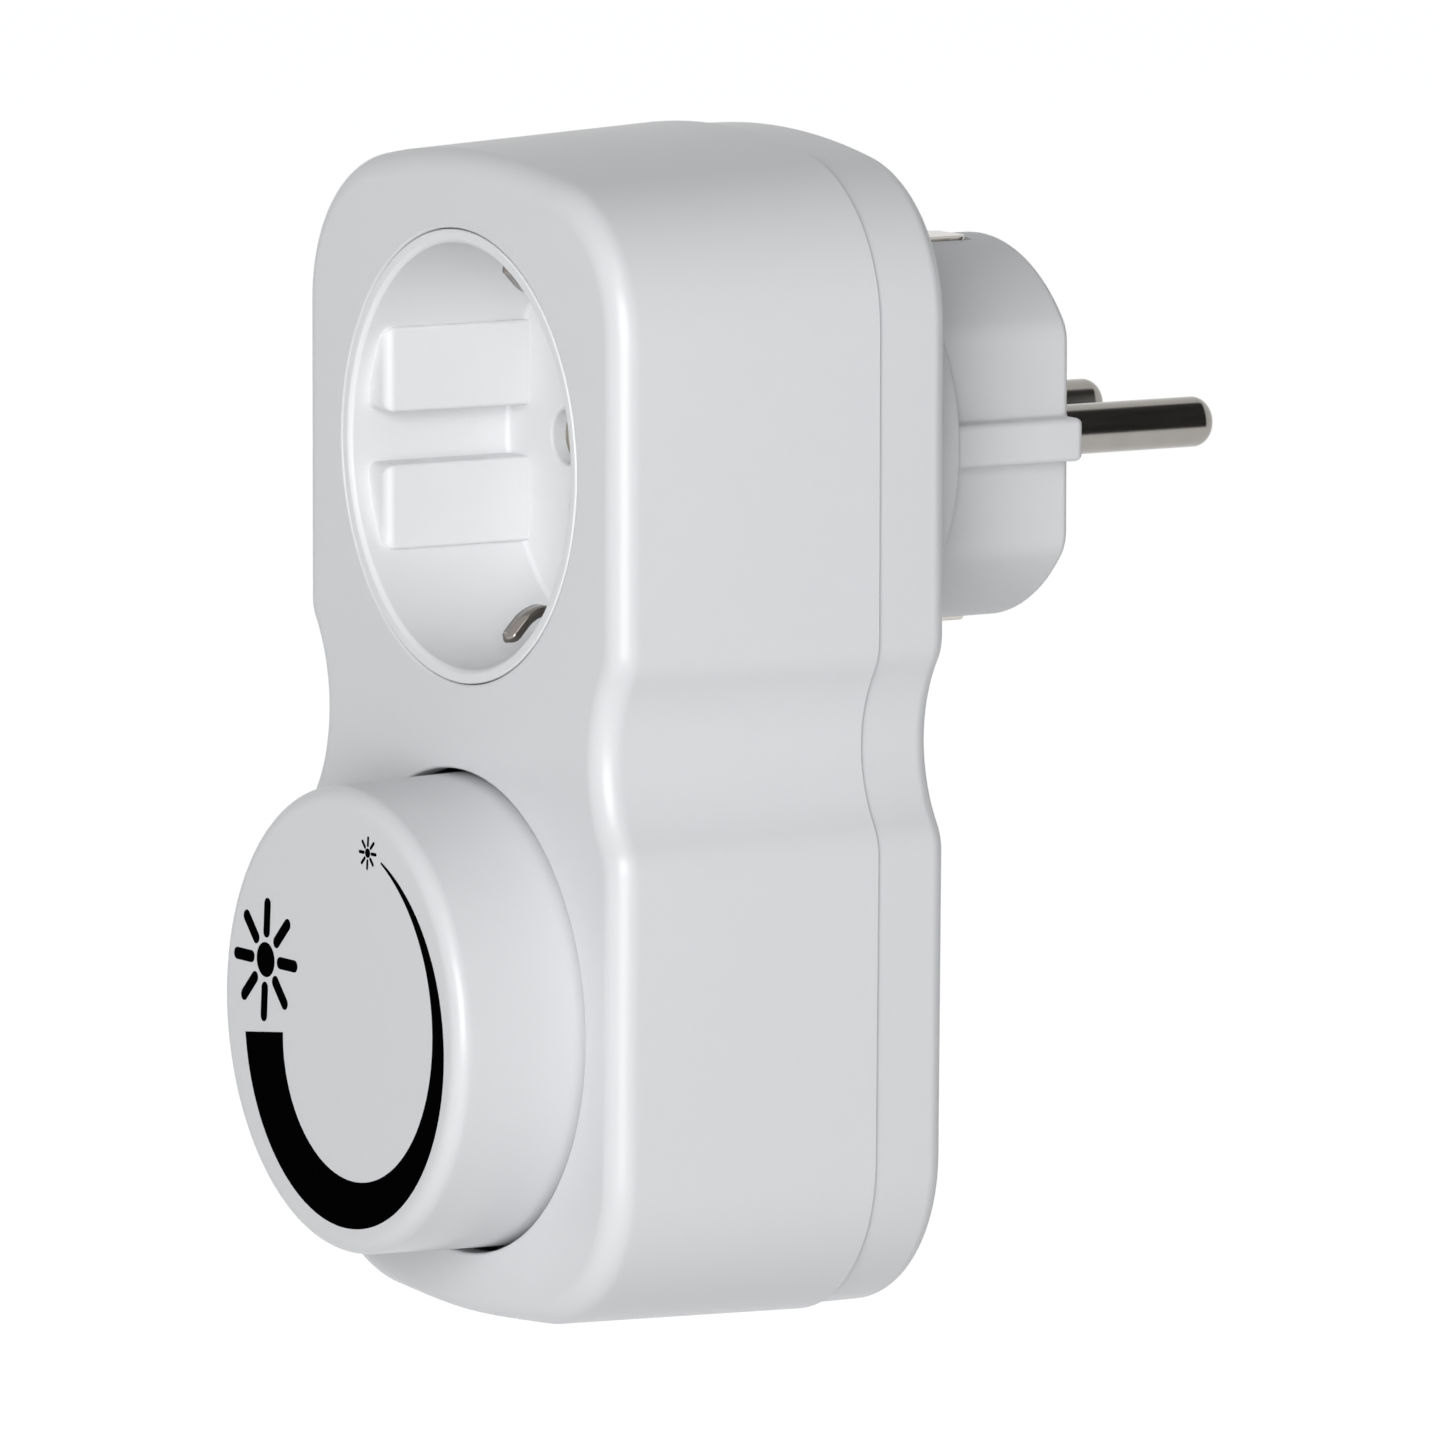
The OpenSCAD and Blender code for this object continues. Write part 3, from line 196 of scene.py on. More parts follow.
def plug_section(inset, pocket=False):
    """Section of the plug: part circle, side flats with a guide rib, earth pockets above and below."""
    r, flat = PLUG_R - inset, PLUG_FLAT - inset
    rib_x, rib_y = RIB_X - inset, RIB_HALF - inset
    cheek, corner = (max(q - inset, 0.02) for q in (PLUG_CHEEK, RIB_CORNER))
    root = RIB_ROOT + inset
    steps = (POCKET_EDGE, POCKET_HALF, POCKET_FOOT, STRAP_SLOT, 2.0, 1.0, 0.0)
    top = [(x, math.sqrt(r ** 2 - x ** 2)) for x in steps]
    edge_turn = math.degrees(math.atan2(top[0][1], top[0][0]))
    if pocket:
        top[2:] = [(POCKET_HALF, POCKET_FLOOR)] + [(x, POCKET_FLOOR) for x, y in top[3:]]
    cheek_x = flat - cheek
    cheek_y = math.sqrt((r - cheek) ** 2 - cheek_x ** 2)
    cheek_turn = math.degrees(math.atan2(cheek_y, cheek_x))
    quarter = (
        [(rib_x, 0.0)]
        + arc(rib_x - corner, rib_y - corner, corner, 0, 90, 4)
        + arc(flat + root, rib_y + root, root, 270, 180, 4)
        + arc(cheek_x, cheek_y, cheek, 0, cheek_turn, 8)
        + arc(0, 0, r, cheek_turn, edge_turn, 20, 1, 1)
        + top
    )
    lower = [(x, -y) for x, y in reversed(quarter[1:])]
    return mirrored(lower + quarter)


def guide_block(inset):
    """Section of one guide block, from its flat to inside the wall of the recess."""
    x, low, high = GUIDE_X + inset, GUIDE_SLOT + inset, GUIDE_HALF - inset
    q = max(GUIDE_CORNER - 0.5 * inset, 0.05)
    sunk = RECESS_R + GUIDE_SUNK
    return (
        arc(x + q, low + q, q, 270, 180, 4)
        + arc(x + q, high - q, q, 180, 90, 4)
        + [(math.sqrt(sunk ** 2 - y ** 2), y) for y in (high, (low + high) / 2, low)]
    )


def round_over(r, steps):
    """Steps of a rounded edge from a wall to a flat: distance moved in, distance from the flat."""
    turns = [math.pi / 2 * i / steps for i in range(steps + 1)]
    return [(r * (1 - math.cos(t)), r * (1 - math.sin(t))) for t in turns]


# Meshes

class Moulding:
    """A closed mesh put together from rings of points in the front view."""

    def __init__(self):
        self.points, self.faces = [], []

    def loop(self, points):
        first = len(self.points)
        self.points += points
        return list(range(first, len(self.points)))

    def ring(self, outline, out):
        return self.loop([(x, y, out) for x, y in outline])

    def band(self, one, other):
        """Faces between two loops; where the loops share a point, a face has a corner less."""
        n = len(one)
        for i in range(n):
            k = (i + 1) % n
            corners = tuple(dict.fromkeys((one[i], one[k], other[k], other[i])))
            if len(corners) > 2:
                self.faces.append(corners)

    def wall(self, section, profile, closed=False):
        """Joins rings section(size) at each (size, out) of a profile; gives the first and last."""
        rings = [self.ring(section(size), out) for size, out in profile]
        for one, other in zip(rings, rings[1:] + rings[:1] if closed else rings[1:]):
            self.band(one, other)
        return rings[0], rings[-1]

    def flat(self, *loops):
        """Fills the plane between an outer loop and the holes in it."""
        ids = [i for loop in loops for i in loop]
        spots = [Vector(self.points[i][:2]) for i in ids]
        edges, first = [], 0
        for loop in loops:
            n = len(loop)
            edges += [(first + i, first + (i + 1) % n) for i in range(n)]
            first += n
        made = delaunay_2d_cdt(spots, edges, [], 0, 1e-7)
        for face in made[2]:
            middle = sum((made[0][k] for k in face), Vector((0, 0))) / len(face)
            crossed = sum(
                (spots[a].y > middle.y) != (spots[b].y > middle.y)
                and middle.x < spots[a].x + (middle.y - spots[a].y)
                * (spots[b].x - spots[a].x) / (spots[b].y - spots[a].y)
                for a, b in edges
            )
            if crossed % 2:
                self.faces.append(tuple(ids[made[3][k][0]] for k in face))

    def piece(self, name, body_name, slot, finish, *replaced, sharp=38):
        """Makes the object, smooth apart from its sharp edges, and hands it to its body."""
        mesh = bpy.data.meshes.new(name)
        mesh.from_pydata([at(*p) for p in self.points], [], self.faces)
        work = bmesh.new()
        work.from_mesh(mesh)
        bmesh.ops.recalc_face_normals(work, faces=work.faces)
        for face in work.faces:
            face.smooth = True
        for edge in work.edges:
            edge.smooth = edge.calc_face_angle(0) < math.radians(sharp)
        work.to_mesh(mesh)
        work.free()
        obj = bpy.data.objects.new(name, mesh)
        bpy.context.scene.collection.objects.link(obj)
        mesh.materials.append(finish)
        normals = obj.modifiers.new("even_shading", "WEIGHTED_NORMAL")
        normals.keep_sharp = True
        if body_name:
            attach(obj, body_name)
        if replaced:
            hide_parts(*replaced)
        return obj


def hole_edge(r, soft, level, inward=-1):
    """Profile of a hole's softened edge at a flat face, from the face into the hole."""
    turns = [math.pi / 2 * i / 4 for i in range(5)]
    return [(r + soft * (1 - math.sin(t)), level + inward * soft * (1 - math.cos(t))) for t in turns]


def lean(out):
    """How far the front shell's sides have moved in at a level."""
    return DRAFT * (out - SEAM) / (FRONT - FRONT_ROUND - SEAM)


def front_shell(finish):
    m = Moulding()
    foot = SEAM + SEAM_BREAK
    # The base bulges no deeper than it lies at the seam
    skirt, face = m.wall(lambda size: body(*size), [
        ((SEAM_BREAK, 0, 0), SEAM), ((lean(foot), lean(foot), 0), foot)
    ] + [
        ((DRAFT + inset, min(BULGE, DRAFT + 0.5 * inset), TOP_SINK), FRONT - drop)
        for inset, drop in round_over(FRONT_ROUND, 12)
    ])
    inner, rim = m.wall(body, [
        (WALL + lean(PLATE), PLATE), (WALL + lean(foot), foot), (WALL - SEAM_BREAK, SEAM)
    ])
    m.band(skirt, rim)
    mouths, backs = [], []
    for y, r in ((0, SOCKET_HOLE), (KNOB_Y, KNOB_HOLE)):
        mouth, back = m.wall(disc_at(0, y), hole_edge(r, HOLE_SOFT, FRONT) + [(r, PLATE)])
        mouths.append(mouth)
        backs.append(back)
    m.flat(face, *mouths)
    m.flat(inner, *backs)
    for x, y in screw_places():
        m.wall(disc_at(x, y, 40), [
            (BOSS_R, PLATE + BOSS_SUNK), (BOSS_R, BOSS_END),
            (BOSS_BORE, BOSS_END), (BOSS_BORE, PLATE + BOSS_SUNK)
        ], closed=True)
    return m.piece("shell_front", "housing", "shell_plastic", finish, "front_housing")


def rear_shell(finish):
    m = Moulding()
    back, rim = m.wall(body, [
        (REAR_STEP + inset, REAR + drop) for inset, drop in reversed(round_over(REAR_ROUND, 10))
    ] + [
        (REAR_STEP, SEAM - SEAM_BREAK), (REAR_STEP + SEAM_BREAK, SEAM), (LIP_IN, SEAM),
        (LIP_IN, SEAM + LIP_H), (LIP_IN + LIP_T, SEAM + LIP_H), (LIP_IN + LIP_T, SEAM - LIP_H),
        (REAR_STEP + WALL, SEAM - LIP_H), (REAR_STEP + WALL, REAR_PLATE)
    ])
    hole = COLLAR_R + COLLAR_GAP
    edge = hole_edge(hole, COLLAR_HOLE_SOFT, REAR, 1)
    mouth, inside = m.wall(disc_at(0, 0), edge + [(hole, REAR_PLATE)])
    mouths, backs = [mouth], [inside]
    for x, y in screw_places():
        edge = hole_edge(HEAD_BORE, HOLE_SOFT, REAR, 1)
        mouth, inside = m.wall(disc_at(x, y, 48), edge + [
            (HEAD_BORE, HEAD_SEAT), (SCREW_BORE, HEAD_SEAT), (SCREW_BORE, POST_END),
            (BOSS_R, POST_END), (BOSS_R, SEAM - POST_STEP), (POST_R, SEAM - POST_STEP),
            (POST_R, REAR_PLATE)
        ])
        mouths.append(mouth)
        backs.append(inside)
    m.flat(back, *mouths)
    m.flat(rim, *backs)
    return m.piece("shell_rear", "housing", "shell_plastic", finish, "rear_cover")


def socket_cup(finish):
    m = Moulding()
    chamfer_top = RECESS_R + RIM_CHAMFER
    # Both ends of the chamfer are softened by some hundredths
    back, ground = m.wall(disc_at(0, 0, 192), [
        (RIM_R, CUP_BACK), (RIM_R, PLATE - CUP_FLANGE_T), (CUP_FLANGE_R, PLATE - CUP_FLANGE_T),
        (CUP_FLANGE_R, PLATE), (RIM_R, PLATE), (RIM_R, FRONT - RIM_BREAK), (RIM_R - RIM_BREAK, FRONT),
        (chamfer_top + 0.08, FRONT), (chamfer_top - 0.06, FRONT - 0.05),
        (RECESS_R + 0.06, FRONT - RIM_CHAMFER + 0.05), (RECESS_R, FRONT - RIM_CHAMFER - 0.1),
    ] + [(RECESS_R - inset, FLOOR + drop) for inset, drop in round_over(FLOOR_ROUND, 5)])
    mouths, backs = [], []
    for side in (-1, 1):
        edge = hole_edge(PIN_HOLE_R, PIN_HOLE_SOFT, FLOOR)
        mouth, inside = m.wall(disc_at(side * PIN_X, 0, 64), edge + [(PIN_HOLE_R, CUP_BACK)])
        near, far, half = side * CLIP_SLOT_NEAR, side * CLIP_SLOT_FAR, CLIP_SLOT_HALF
        slot = [(-half, near), (half, near), (half, far), (-half, far)]
        slot_mouth, slot_back = m.wall(lambda size: slot, [(0, FLOOR), (0, CUP_BACK)])
        mouths += [mouth, slot_mouth]
        backs += [inside, slot_back]
    m.flat(ground, *mouths)
    m.flat(back, *backs)
    profile = [(0, FLOOR - GUIDE_SUNK)] + [
        (inset, GUIDE_FRONT - drop) for inset, drop in round_over(GUIDE_ROUND, 6)
    ]
    for right in (-1, 1):
        for up in (-1, 1):
            foot, tip = m.wall(
                lambda inset: [(right * x, up * y) for x, y in guide_block(inset)], profile)
            m.flat(foot)
            m.flat(tip)
    return m.piece("socket_cup", "housing", "socket_plastic", finish, "socket_insert")


def plug_moulding(finish):
    m = Moulding()
    end, stop = m.wall(plug_section, [
        (inset, drop) for inset, drop in reversed(round_over(PLUG_ROUND, 7))
    ] + [(0, POCKET_START)])
    # The pockets start with a step; the rest of the section runs on
    start = []
    for i, (x, y) in zip(stop, plug_section(0, pocket=True)):
        same = math.hypot(x - m.points[i][0], y - m.points[i][1]) < 1e-6
        start += [i] if same else m.loop([(x, y, POCKET_START)])
    root = m.loop([(*m.points[i][:2], COLLAR) for i in start])
    m.band(stop, start)
    m.band(start, root)
    mouths, posts = [], []
    pin_hole, root_hole = PIN_R + PIN_GAP, PIN_ROOT_R + PIN_GAP
    seat = PIN_SHOULDER + PIN_SHOULDER_GAP
    for side in (-1, 1):
        edge = hole_edge(pin_hole, PIN_HOLE_EDGE, 0, 1)
        mouth, post = m.wall(disc_at(side * PIN_X, 0, 48), edge + [
            (pin_hole, seat), (root_hole, seat), (root_hole, PIN_ROOT_END),
            (PIN_POST_R, PIN_ROOT_END), (PIN_POST_R, HOLLOW_FLOOR)
        ])
        mouths.append(mouth)
        posts.append(post)
    m.flat(end, *mouths)
    collar, top = m.wall(disc_at(0, 0), [
        (COLLAR_R - inset, COLLAR + drop) for inset, drop in reversed(round_over(COLLAR_ROUND, 5))
    ] + [(COLLAR_R, PLUG_FLANGE_START), (PLUG_FLANGE_R, PLUG_FLANGE_START), (PLUG_FLANGE_R, PLUG_TOP)])
    inside, hollow = m.wall(disc_at(0, 0), [(HOLLOW_R, PLUG_TOP), (HOLLOW_R, HOLLOW_FLOOR)])
    m.flat(hollow, *posts)
    # The straps leave the pockets through slots in the collar
    quarter = len(root) // 4
    outline, slots = root[quarter:] + root[:quarter], []
    for side in (-1, 1):
        floor = [
            i for i in outline
            if abs(m.points[i][0]) < STRAP_SLOT + 0.01 and m.points[i][1] * side > 0
        ]
        over = m.loop([(m.points[i][0], side * STRAP_TOP, COLLAR) for i in (floor[0], floor[-1])])
        mouth = floor + over[::-1]
        far = m.loop([(*m.points[i][:2], PLUG_TOP) for i in mouth])
        m.band(mouth, far)
        slots.append(far)
        first, last = outline.index(floor[0]), outline.index(floor[-1])
        outline[first:last + 1] = [floor[0], *over, floor[-1]]
    m.flat(collar, outline)
    m.flat(top, inside, *slots)
    return m.piece("plug_moulding", "housing", "plug_plastic", finish, "plug_body")


def plug_pin(name, side, finish, replaced):
    m = Moulding()
    tip, tail = m.wall(disc_at(side * PIN_X, 0, 96), [
        (PIN_R - inset, drop - PIN_LEN) for inset, drop in reversed(round_over(PIN_ROUND, 10))
    ] + [
        (PIN_R, PIN_SHOULDER), (PIN_ROOT_R, PIN_SHOULDER), (PIN_ROOT_R, PIN_ROOT_END),
        (PIN_ROOT_R - PIN_NECK_IN, PIN_ROOT_END), (PIN_ROOT_R - PIN_NECK_IN, PIN_TAIL)
    ])
    m.flat(tip)
    m.flat(tail)
    return m.piece(name, "housing", "plated_pins", finish, replaced)


def smooth_path(points, steps):
    """A curve through points in the plane, with a number of steps between one and the next."""
    spots = [Vector(p) for p in points]
    spots = [2 * spots[0] - spots[1], *spots, 2 * spots[-1] - spots[-2]]
    made = []
    for a, b, c, d in zip(spots, spots[1:], spots[2:], spots[3:]):
        for i in range(steps):
            t = i / steps
            made.append(0.5 * (2 * b + (c - a) * t + (2 * a - 5 * b + 4 * c - d) * t ** 2
                               + (3 * b - a - 3 * c + d) * t ** 3))
    return made + [spots[-2]]


def both_ways(half):
    """A path from the middle upwards, with its mirror image downwards."""
    return [Vector((-p.x, p.y)) for p in reversed(half[1:])] + half


def bent_strip(name, arm, half, finish, replaced):
    """A nickel strip bent along an arm of (y, out) and its mirror image, with rounded ends.

    half gives half of its width at a level.
    """
    path = both_ways(smooth_path(arm, 6))
    m = Moulding()
    rings = []
    last = len(path) - 1
    for i, spot in enumerate(path):
        along = (path[min(i + 1, last)] - path[max(i - 1, 0)]).normalized()
        across = Vector((-along.y, along.x))
        end = min((path[0] - spot).length, (path[last] - spot).length)
        w = half(spot.y) - max(0.0, STRAP_END_ROUND - end) ** 2 / STRAP_END_ROUND
        t, soft = STRAP_T / 2, STRAP_SOFT
        outline = [(w, t - soft), (w - soft, t), (soft - w, t), (-w, t - soft),
                   (-w, soft - t), (soft - w, -t), (w - soft, -t), (w, soft - t)]
        rings.append(m.loop([(x, spot.x + across.x * h, spot.y + across.y * h) for x, h in outline]))
    for one, other in zip(rings, rings[1:]):
        m.band(one, other)
    m.faces += [tuple(rings[0]), tuple(reversed(rings[-1]))]
    return m.piece(name, "housing", "nickel_strap", finish, replaced, sharp=60)


def coil_spring(node, axis, fixed, travel, wire, turns, finish):
    """A wire spring in place of a node's, wound between a held end and an end pressed in by travel.

    axis is 1 for up and 2 for out. fixed is True if the end far along axis is the one that is held.
    """
    corners = [(1000 * c[0], 1000 * c[2], -1000 * c[1]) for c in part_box(node)]
    low, high = (Vector(pick(a, b) for a, b in zip(*corners)) for pick in (min, max))
    middle = (low + high) / 2
    stays, pressed = middle.copy(), middle.copy()
    stays[axis], pressed[axis] = (high[axis], low[axis]) if fixed else (low[axis], high[axis])
    length = (pressed - stays).length
    along = (pressed - stays) / length
    side = Vector((1, 0, 0))
    across = along.cross(side)
    r = (high.x - low.x) / 2 - wire / 2

    def closed(t):
        """Where a point lies when the spring is pressed, as a share of its length then."""
        return (length * t - travel * t * t * (3 - 2 * t)) / (length - travel)

    m = Moulding()
    rings = []
    steps = SPRING_STEPS * turns
    for i in range(steps + 1):
        # The turns lie evenly when the spring is pressed, so at rest its ends are closer wound
        a, b = 0.0, 1.0
        for _ in range(30):
            t = (a + b) / 2
            a, b = (t, b) if closed(t) < i / steps else (a, t)
        turn = math.tau * turns * i / steps
        radial = math.cos(turn) * side + math.sin(turn) * across
        centre = stays + along * (wire / 2 + (length - wire) * t) + radial * r
        rings.append(m.loop([
            tuple(centre + wire / 2 * (math.cos(q) * radial + math.sin(q) * along))
            for q in (math.tau * k / WIRE_SIDES for k in range(WIRE_SIDES))]))
    for one, other in zip(rings, rings[1:]):
        m.band(one, other)
    m.faces += [tuple(rings[0]), tuple(reversed(rings[-1]))]
    obj = m.piece(node + "_wire", None, "screw_steel", finish, node, sharp=60)
    at(*stays)
    at(*pressed)
    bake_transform(obj)


def knob_cap(finish):
    m = Moulding()
    face_out = KNOB_FACE - INK
    slope = (KNOB_BASE_R - KNOB_FACE_R) / (face_out - KNOB_ROUND - SKIRT_END)
    face, bore = m.wall(disc_at(0, KNOB_Y, 192), [
        (KNOB_FACE_R - inset, face_out - drop) for inset, drop in reversed(round_over(KNOB_ROUND, 10))
    ] + [
        (KNOB_BASE_R - slope * SKIRT_BREAK, SKIRT_END + SKIRT_BREAK),
        (KNOB_BASE_R - SKIRT_BREAK, SKIRT_END),
        (KNOB_BASE_R - KNOB_WALL, SKIRT_END), (KNOB_FACE_R - KNOB_WALL, KNOB_INSIDE),
        (HUB_R, KNOB_INSIDE), (HUB_R, SKIRT_END), (SHAFT_BORE, SKIRT_END), (SHAFT_BORE, BORE_END)
    ])
    m.flat(face)
    m.flat(bore)
    return m.piece("knob_cap", "knob", "shell_plastic", finish, "dimmer_knob")


def brightness_print(finish):
    """The scale on the knob: a crescent that grows from a small sun to a large one."""
    m = Moulding()

    def film(outline):
        low, high = m.wall(lambda size: outline, [(0, KNOB_FACE - 2 * INK), (0, KNOB_FACE)])
        m.flat(low)
        m.flat(high)

    def sun(x, y, scale):
        film(circle(x, y, SUN_DOT_R * scale, 48))
        half = SUN_RAY_HALF * scale
        ray = arc(SUN_RAY_START * scale + half, 0, half, 90, 270, 8)
        ray += arc(SUN_RAY_END * scale - half, 0, half, -90, 90, 8)
        for turn in range(0, 360, 45):
            c, s = math.cos(math.radians(turn)), math.sin(math.radians(turn))
            film([(x + c * a - s * b + SUN_LEAN * (s * a + c * b), y + s * a + c * b) for a, b in ray])

    outer, inner = [], []
    for i in range(CRESCENT_STEPS + 1):
        s = i / CRESCENT_STEPS
        turn = math.radians(CRESCENT_START + s * (CRESCENT_END - CRESCENT_START))
        depth = CRESCENT_THIN_R + s * (CRESCENT_THICK_R - CRESCENT_THIN_R)
        for line, r in ((outer, CRESCENT_R), (inner, depth)):
            line.append((CRESCENT_X + r * math.cos(turn), CRESCENT_Y + r * math.sin(turn)))
    film(outer + inner[::-1])
    for x, y, scale in SUNS:
        sun(x, y, scale)
    return m.piece("brightness_print", "knob", "case_plastic", finish)


# Finishes

class Value:
    """A shader socket; arithmetic with it adds Math nodes."""

    def __init__(self, paint, socket):
        self.paint, self.socket = paint, socket

    def maths(self, operation, one, other):
        return self.paint.node("ShaderNodeMath", {"operation": operation}, {0: one, 1: other})

    def __add__(self, other):
        return self.maths("ADD", self, other)

    def __sub__(self, other):
        return self.maths("SUBTRACT", self, other)

    def __rsub__(self, other):
        return self.maths("SUBTRACT", other, self)

    def __mul__(self, other):
        return self.maths("MULTIPLY", self, other)

    __radd__ = __add__
    __rmul__ = __mul__


class Paint:
    """The node tree of one finish or of the studio's world."""

    def __init__(self, owner):
        owner.use_nodes = True
        self.tree = owner.node_tree
        self.tree.nodes.clear()

    def node(self, kind, settings=None, sockets=None, out=0):
        """Adds a node: its settings first, then the values or links of its sockets."""
        made = self.tree.nodes.new(kind)
        for name, value in (settings or {}).items():
            setattr(made, name, value)
        for name, value in (sockets or {}).items():
            if isinstance(value, Value):
                self.tree.links.new(value.socket, made.inputs[name])
            else:
                made.inputs[name].default_value = value
        return Value(self, made.outputs[out]) if made.outputs else None

    def place(self):
        return self.node("ShaderNodeTexCoord", out=3)

    def stretched(self, x, y, z):
        """The object's own coordinates, multiplied along each axis."""
        return self.node("ShaderNodeVectorMath", {"operation": "MULTIPLY"}, {
            0: self.place(), 1: (x, y, z)})

    def noise(self, scale, detail=2.0, where=None):
        """Soft noise from 0 to 1; scale is in waves a metre."""
        return self.node("ShaderNodeTexNoise", None, {
            "Vector": where or self.place(), "Scale": scale, "Detail": detail, "Roughness": 0.5})

    def between(self, share, one, other):
        """A colour from one to the other."""
        sockets = {0: share}
        for slot, colour in ((6, one), (7, other)):
            sockets[slot] = colour if isinstance(colour, Value) else (*colour, 1)
        return self.node("ShaderNodeMix", {"data_type": "RGBA"}, sockets, out=2)

    def waves(self, direction, scale):
        """Soft bands from 0 to 1 across one of the object's axes."""
        return self.node("ShaderNodeTexWave", {"bands_direction": direction}, {
            "Vector": self.place(), "Scale": scale}, out="Fac")

    def relief(self, height, strength, depth):
        return self.node("ShaderNodeBump", None, {
            "Height": height, "Strength": strength, "Distance": depth})

    def surface(self, **sockets):
        """Principled surface, with its sockets named in lower case."""
        named = {name.replace("_", " ").title().replace("Ior", "IOR"): v for name, v in sockets.items()}
        for name, value in named.items():
            if name == "Base Color" and not isinstance(value, Value):
                named[name] = (*value, 1)
        shader = self.node("ShaderNodeBsdfPrincipled", None, named)
        self.node("ShaderNodeOutputMaterial", None, {"Surface": shader})


def finish_named(name):
    made = bpy.data.materials.new(name)
    return made, Paint(made)


def shade(colour, by):
    return tuple(c * by for c in colour)


def moulded(name, colour, rough, cloud=0.006, uneven=0.02):
    """Injection moulded plastic: a fine mottle of tone and an uneven gloss."""
    made, p = finish_named(name)
    flow = p.noise(700.0, 4.0)
    gloss = p.noise(260.0, 3.0)
    p.surface(
        base_color=p.between(flow, shade(colour, 1 - cloud), colour),
        roughness=rough + (gloss - 0.5) * uneven,
        ior=1.5)
    return made


def metal(name, colour, rough, along=(60.0, 60.0, 60.0), streak=0.1):
    """Metal with fine drawing lines along one axis and an uneven polish."""
    made, p = finish_named(name)
    lines = p.noise(40.0, 3.0, p.stretched(*along))
    spots = p.noise(420.0, 3.0)
    p.surface(
        base_color=p.between(spots, shade(colour, 0.86), colour),
        metallic=1.0,
        roughness=rough + (lines - 0.5) * streak,
        normal=p.relief(lines, 0.06, 0.00002))
    return made


def ink(name):
    """Matt black print."""
    made, p = finish_named(name)
    spread = p.noise(1800.0, 3.0)
    p.surface(
        base_color=p.between(spread, (0.0006, 0.0006, 0.0007), (0.0014, 0.0014, 0.0015)),
        roughness=0.5 + spread * 0.1, specular_ior_level=0.0,
        normal=p.relief(spread, 0.03, 0.00002))
    return made


def laminate(name):
    """Glass-fibre board under green solder resist."""
    made, p = finish_named(name)
    weave = (p.waves("X", 420.0) + p.waves("Z", 420.0)) * 0.5
    tone = p.between(p.noise(90.0, 3.0), (0.012, 0.09, 0.035), (0.02, 0.14, 0.055))
    p.surface(
        base_color=p.between(weave * 0.25, tone, (0.05, 0.2, 0.08)),
        roughness=0.3 + weave * 0.12,
        normal=p.relief(weave, 0.08, 0.00005))
    return made


def winding(name):
    """Lacquered copper wire, turn beside turn round the ring."""
    made, p = finish_named(name)
    turns = p.node("ShaderNodeTexWave", {"wave_type": "RINGS", "rings_direction": "Y"}, {
        "Vector": p.place(), "Scale": 260.0, "Distortion": 1.2}, out="Fac")
    p.surface(
        base_color=p.between(turns, (0.28, 0.09, 0.025), (0.62, 0.25, 0.08)),
        metallic=0.9,
        roughness=0.24 + turns * 0.14,
        normal=p.relief(turns, 0.5, 0.0002))
    return made


def fuse_glass(name):
    """Glass tube with plated caps at its two ends."""
    made, p = finish_named(name)
    low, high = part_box("fuse")
    middle, half = (low.z + high.z) / 2, (high.z - low.z) / 2
    height = p.node("ShaderNodeSeparateXYZ", None, {0: p.place()}, out=2)
    offset = p.node("ShaderNodeMath", {"operation": "ABSOLUTE"}, {0: height - middle})
    cap = p.node("ShaderNodeMath", {"operation": "GREATER_THAN"}, {0: offset, 1: half - FUSE_CAP})
    p.surface(
        base_color=p.between(cap, (0.75, 0.82, 0.8), (0.6, 0.58, 0.54)),
        metallic=cap,
        roughness=0.08 + cap * 0.2 + p.noise(300.0) * 0.06)
    return made


def banded(name, colour, band):
    """Lacquered axial parts with coloured rings."""
    made, p = finish_named(name)
    share = p.node("ShaderNodeMath", {"operation": "GREATER_THAN"}, {0: p.waves("X", 260.0), 1: 0.72})
    p.surface(
        base_color=p.between(share, colour, band),
        roughness=0.35 + p.noise(500.0) * 0.1)
    return made


shell_white = moulded("shell_white", (0.70, 0.708, 0.722), 0.3)
knob_white = moulded("knob_white", (0.70, 0.708, 0.722), 0.28)
cup_white = moulded("cup_white", (0.785, 0.791, 0.8), 0.45)
plug_white = moulded("plug_white", (0.74, 0.747, 0.757), 0.42)
# The pins' nickel is far darker than the springs': painted dark reflection for the dark band along the
# pins
pin_nickel_painted_dark = metal("nickel_plate_painted_dark", (0.34, 0.325, 0.3), 0.2, along=(90.0, 3.0, 90.0))
spring_nickel = metal("spring_nickel", (0.6, 0.57, 0.53), 0.24, along=(60.0, 8.0, 8.0))
# The earth clips' nickel is darker still: painted dark reflection on the clips in the recess
clip_nickel_painted_dark = metal("clip_nickel_painted_dark", (0.27, 0.245, 0.22), 0.16, along=(60.0, 8.0, 8.0))
print_black = ink("print_black")

front_shell(shell_white)
rear_shell(shell_white)
socket_cup(cup_white)
plug_moulding(plug_white)
plug_pin("pin_left", -1, pin_nickel_painted_dark, "plug_pin_left")
plug_pin("pin_right", 1, pin_nickel_painted_dark, "plug_pin_right")
knob_cap(knob_white)
brightness_print(print_black)

